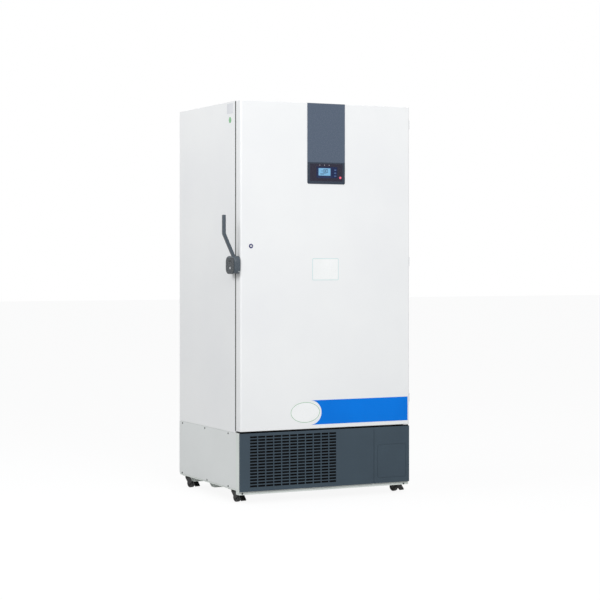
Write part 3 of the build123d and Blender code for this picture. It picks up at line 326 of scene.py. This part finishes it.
# %% Filter, fins, copper and jacket
finishes["filter_mat"] = grained(
    "filter_mat_black", "#050506", "#0b0c0c", roughness=0.95, grain=4 * mm, depth=1.2 * mm, patch=0.03,
    specular=0.1)
finishes["fin_aluminium"] = brushed(
    "aluminium_fins", "#c9cbcd", "#8f9295", roughness=0.4, line=3 * mm, stretch=(1, 40, 40), depth=0.4 * mm)
finishes["copper"] = brushed(
    "copper_drawn", "#c98a62", "#8f5a3d", roughness=0.35, line=20 * mm, stretch=(1, 1, 1))
finishes["jacket"] = grained(
    "foam_jacket_black", "#222325", "#191a1b", roughness=0.85, grain=5 * mm, depth=0.4 * mm, patch=0.1)
finishes["grey_plastic"] = grained(
    "nylon_grey", "#5c5e60", "#535557", roughness=0.5, grain=2 * mm, depth=0.05 * mm, patch=0.05)

# %% [markdown]
# The control panel's film is printed from behind: dark plum grey all over, with a navy field round
# the keys. Comparing the object coordinates with the field's middle and half size makes a mask, and
# the mask mixes the two inks.

# %% Recipe for a field in a second tone, used for print and for painted shade
film_grain, film_gloss = 4 * mm, (0.2, 0.34)


def print_and_shade_field(name, main, field, middle, half_size, specular=0.5, extra=None):
    """A surface in a main tone with one rectangular field in another. Its mask is returned as well."""
    material, tree, shader = new_material(name, {"Specular IOR Level": specular, **(extra or {})})
    place = object_place(tree)
    offset = add_node(tree, "ShaderNodeVectorMath", {"operation": "SUBTRACT", 1: middle}, {0: place})
    distance = add_node(tree, "ShaderNodeVectorMath", {"operation": "ABSOLUTE"}, {0: offset.outputs[0]})
    axes = add_node(tree, "ShaderNodeSeparateXYZ", links={0: distance.outputs[0]})
    across = maths(tree, "LESS_THAN", axes.outputs["X"], half_size[0])
    upright = maths(tree, "LESS_THAN", axes.outputs["Z"], half_size[1])
    mask = maths(tree, "MULTIPLY", across, upright)
    link_inputs(tree, shader, {
        "Base Color": mixed(tree, mask, linear(main), linear(field)),
        "Roughness": ranged(tree, noise(tree, place, film_grain), film_gloss),
    })
    return material, tree, shader, mask


# %% Printed fascia
navy_middle = Vector((left + 476.5 * mm, 0, 1643.5 * mm))
navy_half = (58.5 * mm, 27.5 * mm)
finishes["fascia_film"] = print_and_shade_field(
    "film_plum_navy", "#282636", "#0f2048", navy_middle, navy_half, specular=0.25)[0]

# %% [markdown]
# The display's window works the same way, with a pale blue field in navy. The field is lit from
# behind, so its mask also mixes the colour that the shader gives off.

# %% Lit display
lit_middle = Vector((left + 462.5 * mm, 0, 1646 * mm))
lit_half = (33.5 * mm, 18.5 * mm)
glass_coat = {"Emission Strength": 0.1, "Coat Weight": 0.3, "Coat Roughness": 0.05}
display_glass, display_tree, display_shader, lit_mask = print_and_shade_field(
    "display_lit", "#0f2048", "#6fa6cb", lit_middle, lit_half, specular=0.25, extra=glass_coat)
glow = mixed(display_tree, lit_mask, BLACK, linear("#9fd4ff"))
link_inputs(display_tree, display_shader, {"Emission Color": glow})
finishes["display_glass"] = display_glass

# %% [markdown]
# The tall housing on the door is the grille's plastic, a little lighter and smoother. Its lower end is drawn
# in a darker tone, as a frame round the panel, and the same recipe draws that too. The field is a millimetre
# larger than the housing's lower end, so that no light edge is left.

# %% Housing with its darker lower end
dark_end_above_fascia, dark_end_margin = 6 * mm, 1 * mm
dark_end_top = fascia_high.z + dark_end_above_fascia
dark_end_middle = Vector(((housing_low.x + housing_high.x) / 2, 0, (housing_low.z + dark_end_top) / 2))
dark_end_half = ((housing_high.x - housing_low.x) / 2 + dark_end_margin,
                (dark_end_top - housing_low.z) / 2 + dark_end_margin)
# The second colour is the darker tone of the housing's lower end, drawn flat on the solid.
finishes["housing_plastic"] = print_and_shade_field(
    "abs_slate_dark_end", "#515d6e", "#2f3947", dark_end_middle, dark_end_half, specular=0.3)[0]

# %% [markdown]
# The latch lever is die-cast and coated in satin slate enamel. Its gloss shows the round hub and the square
# arm. With one enamel all over, the hub's outer face came out lighter than in the photo. A darker and duller
# field on that face is painted shade that mends it. A darker and duller cap is a guess that mends it. The
# mask takes in the last two millimetres of the hub, on the left, and lowers the reflection there as well.

# %% Enamel of the latch and its painted shade
hub_outer = left - 35 * mm
shade_field_middle = Vector((hub_outer, 0, 1172 * mm))
shade_field_half = (2 * mm, 43 * mm)
enamel_specular, shade_field_specular = 0.5, 0.25
# The second colour is painted shade on the hub's outer face, which is also made duller there.
latch_enamel, latch_tree, latch_shader, shade_field_mask = print_and_shade_field(
    "enamel_slate_satin_painted_shade", "#434d56", "#2d353b", shade_field_middle, shade_field_half)
shade_field_reflection = ranged(latch_tree, shade_field_mask, (enamel_specular, shade_field_specular))
link_inputs(latch_tree, latch_shader, {"Specular IOR Level": shade_field_reflection})
finishes["latch_coating"] = latch_enamel

# %% [markdown]
# Each solid carries the name of its finish in the record, so one loop dresses them all. A few solids
# get another finish than the record's general one.

# %% Dress the solids
own_finish = {"lock_barrel": "ring_blue", "caster_plates": "caster_steel",
              "left_side_panel": "panel_white", "right_side_panel": "panel_white"}
for corner in ("front_left", "front_right", "rear_left", "rear_right"):
    own_finish[f"caster_fork_{corner}"] = "caster_steel"

for row in frame["record"]["subparts"]:
    finish = finishes[own_finish.get(row["node"], row["material_slot"])]
    for material_place in frame["nodes"][row["node"]].material_slots:
        material_place.material = finish

# %% [markdown]
# Films, badges and plates are thin sheets with a chosen outline. We draw the outline as a loop of
# points on the face that carries it, fill it, and push the fill out by the sheet's thickness. A face
# is given by its origin, the way its first coordinate runs and the way it looks.

# %% Helpers for outlines
FRONT = (Vector((left, front, 0)), TO_RIGHT, TO_FRONT)
LEFT_SIDE = (Vector((left, front, 0)), TO_BACK, TO_LEFT)
film = 0.3 * mm


def arc(middle, radii, start, end, steps):
    """Points along an arc of an ellipse, both ends included."""
    turns = [start + (end - start) * step / steps for step in range(steps + 1)]
    return [(middle[0] + radii[0] * cos(turn), middle[1] + radii[1] * sin(turn)) for turn in turns]


def rectangle(low, high, radius, steps=6):
    """A loop round a rectangle with rounded corners."""
    middles = ((high[0] - radius, high[1] - radius), (low[0] + radius, high[1] - radius),
               (low[0] + radius, low[1] + radius), (high[0] - radius, low[1] + radius))
    loop = []
    for quarter, middle in enumerate(middles):
        loop += arc(middle, (radius, radius), quarter * pi / 2, (quarter + 1) * pi / 2, steps)
    return loop


def ellipse(middle, radii, steps=64):
    """A loop round an ellipse."""
    return arc(middle, radii, 0, 2 * pi, steps)[:-1]


# %% [markdown]
# A sheet is built in a bmesh, Blender's editable mesh. Each loop becomes a ring of points, and a band
# of faces joins two rings. Every finished piece rides on a body, so that it follows the door or the
# lever when they move.

# %% Helpers for thin sheets
def bridge(shape, first, second):
    """Joins two rings of as many points by a band of faces."""
    for step in range(len(first)):
        after = (step + 1) % len(first)
        shape.faces.new((first[step], first[after], second[after], second[step]))


def sheet_on(shape, face, loop, thickness=film, lift=0.0, hole=None):
    """Adds one sheet to a bmesh: a filled loop, or the band between a loop and a hole of as many points."""
    origin, along, outward = face
    rings = [[shape.verts.new(origin + along * u + UP * w + outward * (lift + rise)) for u, w in ring]
             for ring in (loop, hole) if ring for rise in (0, thickness)]
    if hole:
        for first, second in ((0, 1), (1, 3), (3, 2), (2, 0)):
            bridge(shape, rings[first], rings[second])
    else:
        bridge(shape, rings[0], rings[1])
        shape.faces.new(rings[0])
        shape.faces.new(rings[1])


def finished_piece(name, shape, material, body):
    """Turns a bmesh into a piece that rides on a body and takes a material."""
    bmesh.ops.recalc_face_normals(shape, faces=shape.faces)
    mesh = bpy.data.meshes.new(name)
    shape.to_mesh(mesh)
    shape.free()
    mesh.materials.append(material)
    piece = bpy.data.objects.new(name, mesh)
    bpy.context.scene.collection.objects.link(piece)
    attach(piece, body)
    print("piece", name, "on", body, "with", len(mesh.polygons), "faces")


def sheet_piece(name, face, loop, material, body, slot=None, **shape_settings):
    """One sheet as a piece of its own."""
    shape = bmesh.new()
    sheet_on(shape, face, loop, **shape_settings)
    finished_piece(name, shape, material, body)


# %% [markdown]
# A bright blue band of vinyl film crosses the foot of the door. Its left end is cut as a half round,
# which leaves room for an oval badge. Vinyl is smooth and slightly glossy, with an even colour that
# only dulls a little in patches.

# %% Blue vinyl band
band_low, band_high, band_right = 378 * mm, 500 * mm, 945 * mm
band_radius = (band_high - band_low) / 2
band_middle = (386 * mm, (band_low + band_high) / 2)
vinyl_blue = grained(
    "vinyl_blue", "#007ae4", "#0074dc", roughness=0.35, grain=6 * mm, depth=0.02 * mm, patch=0.3,
    specular=0.12)
half_round = arc(band_middle, (band_radius, band_radius), pi / 2, -pi / 2, 32)
sheet_piece("blue_band", FRONT, [(band_right, band_low), (band_right, band_high)] + half_round,
            vinyl_blue, "door")

# %% [markdown]
# The oval badge beside the band is left bare: a white gloss film with a thin pale green rim.

# %% Bare oval badge
badge_middle, badge_radii, badge_rim = (356 * mm, 441 * mm), (81 * mm, 51 * mm), 2.4 * mm
film_white = grained(
    "vinyl_white", "#f4f5f5", "#eff1f0", roughness=0.3, grain=6 * mm, depth=0.02 * mm, patch=0.2)
film_green = grained(
    "vinyl_pale_green", "#93bf9c", "#89b893", roughness=0.35, grain=6 * mm, depth=0.02 * mm, patch=0.1)
badge_inside = ellipse(badge_middle, [radius - badge_rim for radius in badge_radii])
sheet_piece("badge_field", FRONT, badge_inside, film_white, "door", "white_steel")
sheet_piece("badge_rim", FRONT, ellipse(badge_middle, badge_radii), film_green, "door", hole=badge_inside)

# %% [markdown]
# A bare plate sits in the middle of the door, a white film with a thin pale teal border.

# %% Bare plate on the door
plate_low, plate_high, plate_rim = (396 * mm, 1102 * mm), (543 * mm, 1211 * mm), 2.2 * mm
plate_corner, plate_inner_corner = 4 * mm, 2 * mm
film_teal = grained(
    "vinyl_pale_teal", "#bfdcdc", "#b5d4d5", roughness=0.35, grain=6 * mm, depth=0.02 * mm, patch=0.1)
plate_inside = rectangle([part + plate_rim for part in plate_low], [part - plate_rim for part in plate_high],
                         plate_inner_corner)
sheet_piece("label_plate", FRONT, plate_inside, film_white, "door", "white_steel")
sheet_piece("label_border", FRONT, rectangle(plate_low, plate_high, plate_corner), film_teal, "door",
            hole=plate_inside)

# %% [markdown]
# Two more stick on the cabinet's left side near the top: a small grey plate and a round green dot.

# %% Bare plate and dot on the side
side_plate_low, side_plate_high, side_plate_corner = (89 * mm, 1931 * mm), (162 * mm, 1982 * mm), 3 * mm
dot_middle, dot_radii = (125 * mm, 1899.5 * mm), (14 * mm, 15.5 * mm)
film_grey = grained(
    "foil_pale_grey", "#dedfe3", "#d5d7db", roughness=0.32, grain=4 * mm, depth=0.02 * mm, patch=0.05)
film_dot = grained(
    "vinyl_green", "#7fbd86", "#76b47e", roughness=0.35, grain=4 * mm, depth=0.02 * mm, patch=0.05)
sheet_piece("side_plate", LEFT_SIDE, rectangle(side_plate_low, side_plate_high, side_plate_corner),
            film_grey, "cabinet")
sheet_piece("side_dot", LEFT_SIDE, ellipse(dot_middle, dot_radii), film_dot, "cabinet")

# %% [markdown]
# The display shows minus eighty in seven-bar digits, with two short level bars under it. Each bar is
# a flat strip. A small table gives its ends, as shares of the digit's width and height, and a sign is
# a set of bars. All places are taken from the middle of the lit field.

# %% Display digits
digit_size, digit_foot, digit_bar, digit_pitch = (9 * mm, 15 * mm), -3 * mm, 2.2 * mm, 13 * mm
level_left, level_foot, level_height, level_pitch = -24 * mm, -9 * mm, 1.8 * mm, 4.5 * mm
level_lengths = (34 * mm, 20 * mm)
ink_thickness, ink_corner = 0.05 * mm, 0.4 * mm
window_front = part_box("display_window")[0].y
DISPLAY = (Vector((lit_middle.x, window_front, lit_middle.z)), TO_RIGHT, TO_FRONT)
bar_ends = {
    "top": ((0, 1), (1, 1)), "middle": ((0, 0.5), (1, 0.5)), "bottom": ((0, 0), (1, 0)),
    "upper_left": ((0, 0.5), (0, 1)), "upper_right": ((1, 0.5), (1, 1)),
    "lower_left": ((0, 0), (0, 0.5)), "lower_right": ((1, 0), (1, 0.5)),
}
minus_sign, eight, zero = {"middle"}, set(bar_ends), set(bar_ends) - {"middle"}
digit_shape = bmesh.new()
for index, bars in enumerate((minus_sign, eight, zero)):
    digit_left = (index - 1) * digit_pitch - digit_size[0] / 2
    for bar in sorted(bars):
        ends = [(digit_left + x * digit_size[0], digit_foot + z * digit_size[1]) for x, z in bar_ends[bar]]
        low = [min(end[axis] for end in ends) - digit_bar / 2 for axis in (0, 1)]
        high = [max(end[axis] for end in ends) + digit_bar / 2 for axis in (0, 1)]
        sheet_on(digit_shape, DISPLAY, rectangle(low, high, ink_corner, steps=2), ink_thickness)
for index, length in enumerate(level_lengths):
    low = (level_left, level_foot - level_pitch * index)
    high = (level_left + length, low[1] + level_height)
    sheet_on(digit_shape, DISPLAY, rectangle(low, high, ink_corner, steps=2), ink_thickness)
ink_dark = grained(
    "display_ink", "#274466", "#203a5a", roughness=0.3, grain=2 * mm, depth=0.01 * mm, patch=0.01)
finished_piece("display_digits", digit_shape, ink_dark, "door")

# %% [markdown]
# The seal's outer lip is a soft bead that fills the gap round the door, almost flush with its sides.
# Its section is a small rounded shape in depth and inset, and the same section at the door's four corners,
# joined up, gives a mitred loop. What fills the gap can't be made out in the photo, so the lip is a guess,
# and it is blacker than the seal because the line in the photo is that dark. Its near-black is painted shade
# of the gap.

# %% Lip of the door seal
lip_inset, lip_reach, lip_round = 0.7 * mm, 3.2 * mm, 1.2 * mm
lip_start, lip_end = door_high.y + 0.2 * mm, cabinet_low.y - 0.3 * mm
lip_section = ((lip_start, lip_reach), (lip_start, lip_inset + lip_round), (lip_start + lip_round, lip_inset),
               (lip_end - lip_round, lip_inset), (lip_end, lip_inset + lip_round), (lip_end, lip_reach))
lip_corners = ((door_low.x, door_low.z, 1, 1), (door_high.x, door_low.z, -1, 1),
               (door_high.x, door_high.z, -1, -1), (door_low.x, door_high.z, 1, -1))
lip_shape = bmesh.new()
lip_rings = [[lip_shape.verts.new((x + inward_x * inset, y, z + inward_z * inset))
              for y, inset in lip_section] for x, z, inward_x, inward_z in lip_corners]
for corner, ring in enumerate(lip_rings):
    bridge(lip_shape, ring, lip_rings[(corner + 1) % len(lip_rings)])
# Near-black rubber: painted shade of the gap round the door, on the lip and on the flap.
painted_shade_rubber = grained(
    "silicone_lip_painted_shade", "#0b0c0c", "#111213", roughness=0.7, grain=2 * mm, depth=0.05 * mm, patch=0.1,
    specular=0.2)
finished_piece("gasket_lip_painted_shade", lip_shape, painted_shade_rubber, "door")

# %% [markdown]
# On the handle side the photo's dark line is wider than the gap between door and cabinet. A thin black flap
# of the seal over the joint is a guess that widens it, and its cover was chosen by comparing the line's mean
# tone with the photo. Its black is painted shade. It stops above and below the latch.

# %% Flap of the door seal, in painted shade
flap_cover, flap_thickness, flap_lift, flap_corner = 0.75 * mm, 0.5 * mm, 0.1 * mm, 0.4 * mm
flap_end_gap, latch_gap = 1 * mm, 4 * mm
latch_parts = [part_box(name) for name in ("latch_bracket", "latch_striker")]
latch_low = min(box[0].z for box in latch_parts) - latch_gap
latch_high = max(box[1].z for box in latch_parts) + latch_gap
flap_near, flap_far = lip_start - front - flap_cover, lip_end - front + flap_cover
flap_shape = bmesh.new()
for flap_low, flap_high in ((door_low.z + flap_end_gap, latch_low), (latch_high, door_high.z - flap_end_gap)):
    flap_loop = rectangle((flap_near, flap_low), (flap_far, flap_high), flap_corner)
    sheet_on(flap_shape, LEFT_SIDE, flap_loop, flap_thickness, flap_lift)
# The flap takes the same near-black rubber: painted shade that widens the dark line.
finished_piece("gasket_flap_painted_shade", flap_shape, painted_shade_rubber, "door")

# %% [markdown]
# In the photo the gap under the door is dark all along. A black strip on the grille's top edge is a guess: it
# closes the view through the gap, past the frame's right end, and its black is painted shade of that gap.

# %% Strip of painted shade under the door
strip_recess, strip_inset, strip_height = 8 * mm, 3 * mm, 6 * mm
strip_thickness, strip_corner = 5 * mm, 1 * mm
SILL = (Vector((left, front + strip_recess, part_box("front_grille")[1].z)), TO_RIGHT, TO_BACK)
strip_loop = rectangle((strip_inset, 0), (right - left - strip_inset, strip_height), strip_corner)
# The black strip is painted shade in the gap under the door.
sheet_piece("sill_strip_painted_shade", SILL, strip_loop, finishes["filter_mat"], "cabinet", "filter_mat",
            thickness=strip_thickness)

# %% [markdown]
# Three pale indicator marks are printed above the display. They are small plain dots here.

# %% Indicator marks
mark_places, mark_z, mark_radii = (436 * mm, 463 * mm, 489 * mm), 1680 * mm, (2.6 * mm, 2.6 * mm)
mark_thickness = 0.1 * mm
FASCIA = (Vector((left, fascia_low.y, 0)), TO_RIGHT, TO_FRONT)
mark_shape = bmesh.new()
for mark_x in mark_places:
    sheet_on(mark_shape, FASCIA, ellipse((mark_x, mark_z), mark_radii, steps=20), mark_thickness)
ink_pale = grained(
    "fascia_ink_pale", "#8e8a94", "#86828c", roughness=0.4, grain=2 * mm, depth=0.01 * mm, patch=0.01)
finished_piece("indicator_marks", mark_shape, ink_pale, "door")

# %% [markdown]
# Small pan-head screws hold the lower panels. A screw head is turned, so its profile becomes one ring
# of points after another round its axis. The last ring draws the cross: within each of four slots it
# lies deep and far out, and between them it stays on top, close to the axis. A function adds one head
# to a mesh at any place, turned a little each time, as real screws stop anywhere.

# %% A screw head
screw_radius, screw_height, screw_steps = 4.6 * mm, 2.2 * mm, 32
slot_half_angle = 0.45
head_shares = ((1.0, 0.0), (1.0, 0.35), (0.9, 0.72), (0.62, 0.94), (0.5, 1.0))
screw_profile = [(screw_radius * out, screw_height * up) for out, up in head_shares]
slot_floor = (0.42 * screw_radius, 0.2 * screw_height)
slot_bank = (0.16 * screw_radius, screw_height)


def screw_head(shape, place, outward, turn, size=1.0):
    """Adds one pan head with a cross recess to a bmesh."""
    aim = outward.to_track_quat("Z", "Y").to_matrix().to_4x4()
    seat = Matrix.Translation(place) @ aim @ Matrix.Rotation(turn, 4, "Z") @ Matrix.Scale(size, 4)
    angles = [2 * pi * step / screw_steps for step in range(screw_steps)]
    in_slot = [abs((angle + pi / 4) % (pi / 2) - pi / 4) < slot_half_angle for angle in angles]
    outlines = [[spot] * screw_steps for spot in screw_profile]
    outlines.append([slot_floor if sunk else slot_bank for sunk in in_slot])
    rings = [[shape.verts.new(seat @ Vector((radius * cos(angle), radius * sin(angle), height)))
              for angle, (radius, height) in zip(angles, outline)] for outline in outlines]
    for low, high in zip(rings, rings[1:]):
        bridge(shape, low, high)
    shape.faces.new(rings[-1])
    shape.faces.new(rings[0])


# %% [markdown]
# Each side panel has two rows of three screws, and the frame's front lip has one at each end. They
# are dark enamelled steel. The right side can't be seen in the photo and is taken to match the left.

# %% Screws of the panels and the lip
side_screw_rows = ((339.5 * mm, (148 * mm, 444 * mm, 743 * mm)),
                   (76.5 * mm, (148 * mm, 415 * mm, 747 * mm)))
lip_screw_places = ((16.6 * mm, 52.4 * mm), (929.3 * mm, 50 * mm))
side_turn = 0.5
screw_steel = grained(
    "enamel_dark_screw", "#3a4140", "#2c3231", roughness=0.4, grain=1 * mm, depth=0.02 * mm, patch=0.01,
    extra={"Metallic": 0.3})
for side_name, side_x, outward in (("left", left, TO_LEFT), ("right", right, TO_RIGHT)):
    side_shape = bmesh.new()
    for row_z, row_places in side_screw_rows:
        for index, depth in enumerate(row_places):
            place = Vector((side_x, front + depth, row_z))
            screw_head(side_shape, place, outward, side_turn * index + row_z)
    finished_piece(f"{side_name}_panel_screws", side_shape, screw_steel, "cabinet")

frame_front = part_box("base_frame")[0].y
lip_screw_shape = bmesh.new()
for screw_x, screw_z in lip_screw_places:
    screw_head(lip_screw_shape, Vector((left + screw_x, frame_front, screw_z)), TO_FRONT, screw_x)
finished_piece("lip_screws", lip_screw_shape, screw_steel, "cabinet")

# %% [markdown]
# The latch has a small bright spot in its foot, drawn as a zinc plated screw, and a dark keyhole. A black
# disc sunk in the keyhole is painted shade that keeps it dark. A black shutter sunk in the keyhole is a
# guess that keeps it dark.

# %% Screw of the latch and painted shade in its keyhole
foot_place, foot_turn, foot_size = Vector((left - 7 * mm, front - 0.4 * mm, 1146 * mm)), 0.4, 0.75
foot_shape = bmesh.new()
screw_head(foot_shape, foot_place, TO_FRONT, foot_turn, foot_size)
finished_piece("latch_foot_screw", foot_shape, finishes["zinc"], "lever")

keyhole_middle, keyhole_radii = (47 * mm, 1198 * mm), (5.3 * mm, 5.3 * mm)
shade_disc_depth, shade_disc_thickness = 1.6 * mm, 0.8 * mm
HUB_FACE = (Vector((hub_outer, front, 0)), TO_BACK, TO_RIGHT)
# A black disc of painted shade sits in the keyhole.
sheet_piece("keyhole_painted_shade", HUB_FACE, ellipse(keyhole_middle, keyhole_radii, steps=32),
            finishes["pedal_black"], "lever", "pedal_black", thickness=shade_disc_thickness, lift=shade_disc_depth)

# %% [markdown]
# The back can't be seen in the photo. Four of the dark screws along the rear panel's top and four
# along its foot are a guess from how such panels are held.

# %% Screws of the rear panel
rear_inset, rear_columns, rear_turn = 14 * mm, 4, 0.7
rear_width = rear_high.x - rear_low.x - 2 * rear_inset
rear_shape = bmesh.new()
for column in range(rear_columns):
    rear_x = rear_low.x + rear_inset + rear_width * column / (rear_columns - 1)
    for rear_z in (rear_low.z + rear_inset, rear_high.z - rear_inset):
        screw_head(rear_shape, Vector((rear_x, rear_high.y, rear_z)), TO_BACK, rear_turn * column)
finished_piece("rear_panel_screws", rear_shape, screw_steel, "cabinet")

# %% [markdown]
# The camera stands where the photographer stood. It looks level, past the freezer's front left
# corner, from a little to the left, and its picture is shifted instead of tilted, so the cabinet's
# edges stay upright. The angle, distance and height come from fitting the cabinet's corners.

# %% Camera
view_angle = radians(26.35)
corner_distance, corner_offset, camera_height = 8.3111, 0.2924, 1.2025
picture_width, focal_pixels, horizon_row = 600, 1693.6, 260.16
sensor_width, far_limit = 36.0, 200.0
camera_data = bpy.data.cameras.new("studio_camera")
camera_data.sensor_width = sensor_width
camera_data.lens = sensor_width * focal_pixels / picture_width
camera_data.shift_y = (horizon_row - picture_width / 2) / picture_width
camera_data.clip_end = far_limit
camera = bpy.data.objects.new("studio_camera", camera_data)
camera.location = (
    left + corner_offset * cos(view_angle) - corner_distance * sin(view_angle),
    front - corner_offset * sin(view_angle) - corner_distance * cos(view_angle),
    camera_height,
)
camera.rotation_euler = (pi / 2, 0, -view_angle)
bpy.context.scene.collection.objects.link(camera)
bpy.context.scene.camera = camera
print("lens", round(camera_data.lens, 1), "shift", round(camera_data.shift_y, 4))

# %% [markdown]
# The light is a pale room with two soft boxes: a large one high in front, and a weaker one on the
# left. The room itself gives most of the light, so a colour renders about as it is written. For the
# camera, and for reflections, the room is plain white.

# %% Room
def seen_directly(tree):
    """One for rays from the camera and for reflected or transmitted ones, and zero for scattered light."""
    path = add_node(tree, "ShaderNodeLightPath").outputs
    shiny = maths(tree, "MAXIMUM", path["Is Camera Ray"], path["Is Glossy Ray"])
    return maths(tree, "MAXIMUM", shiny, path["Is Transmission Ray"])


room_tint, room_level = linear("#fbfdff"), 0.58
world = bpy.data.worlds.new("studio_room")
bpy.context.scene.world = world
room = cleared_tree(world)
room_light = add_node(room, "ShaderNodeBackground", {"Color": room_tint, "Strength": room_level})
room_white = add_node(room, "ShaderNodeBackground", {"Color": WHITE, "Strength": 1.0})
room_mix = add_node(room, "ShaderNodeMixShader",
                    links={0: seen_directly(room), 1: room_light.outputs[0], 2: room_white.outputs[0]})
add_node(room, "ShaderNodeOutputWorld", links={0: room_mix.outputs[0]})


# %% Lamps
def soft_box(name, place, aim, size, power):
    """A square area lamp that looks at a point."""
    lamp_data = bpy.data.lights.new(name, "AREA")
    lamp_data.shape = "SQUARE"
    lamp_data.size = size
    lamp_data.energy = power
    lamp = bpy.data.objects.new(name, lamp_data)
    lamp.location = place
    lamp.rotation_euler = (Vector(aim) - Vector(place)).to_track_quat("-Z", "Y").to_euler()
    bpy.context.scene.collection.objects.link(lamp)
    print("lamp", name, power, "watts")


soft_box("front_box", place=(-0.6, -5.6, 3.7), aim=(0, 0, 1.2), size=2.6, power=192)
soft_box("left_box", place=(-3.6, -0.2, 3.7), aim=(-0.3, 0, 1.5), size=2.0, power=72)

# %% [markdown]
# The floor is a wide pale sheet. For scattered light it is ordinary matt paint, and for the camera it
# mixes a little white paint into plain white light, so it nearly matches the white room and still
# keeps a soft shadow under the freezer.

# %% Floor
floor_half, shadow_share = 40.0, 0.09
floor_shape = bmesh.new()
floor_corners = [floor_shape.verts.new((x * floor_half, y * floor_half, 0))
                 for x, y in ((-1, -1), (1, -1), (1, 1), (-1, 1))]
floor_shape.faces.new(floor_corners)
floor_mesh = bpy.data.meshes.new("studio_floor")
floor_shape.to_mesh(floor_mesh)
floor_shape.free()

floor_paint = bpy.data.materials.new("floor_paint")
floor_tree = cleared_tree(floor_paint)
matt = add_node(floor_tree, "ShaderNodeBsdfDiffuse", {"Color": linear("#b4b4b4")})
white_matt = add_node(floor_tree, "ShaderNodeBsdfDiffuse", {"Color": WHITE})
white_light = add_node(floor_tree, "ShaderNodeEmission", {"Color": WHITE, "Strength": 1.0})
for_camera = add_node(floor_tree, "ShaderNodeMixShader", {0: shadow_share},
                      {1: white_light.outputs[0], 2: white_matt.outputs[0]})
floor_mix = add_node(floor_tree, "ShaderNodeMixShader",
                     links={0: seen_directly(floor_tree), 1: matt.outputs[0], 2: for_camera.outputs[0]})
add_node(floor_tree, "ShaderNodeOutputMaterial", links={0: floor_mix.outputs[0]})
floor_mesh.materials.append(floor_paint)
floor = bpy.data.objects.new("studio_floor", floor_mesh)
bpy.context.scene.collection.objects.link(floor)
print("floor", 2 * floor_half, "metres wide")

# %% [markdown]
# A plain view transform shows the colours as they were written.

# %% Finish
bpy.context.scene.view_settings.view_transform = "Standard"
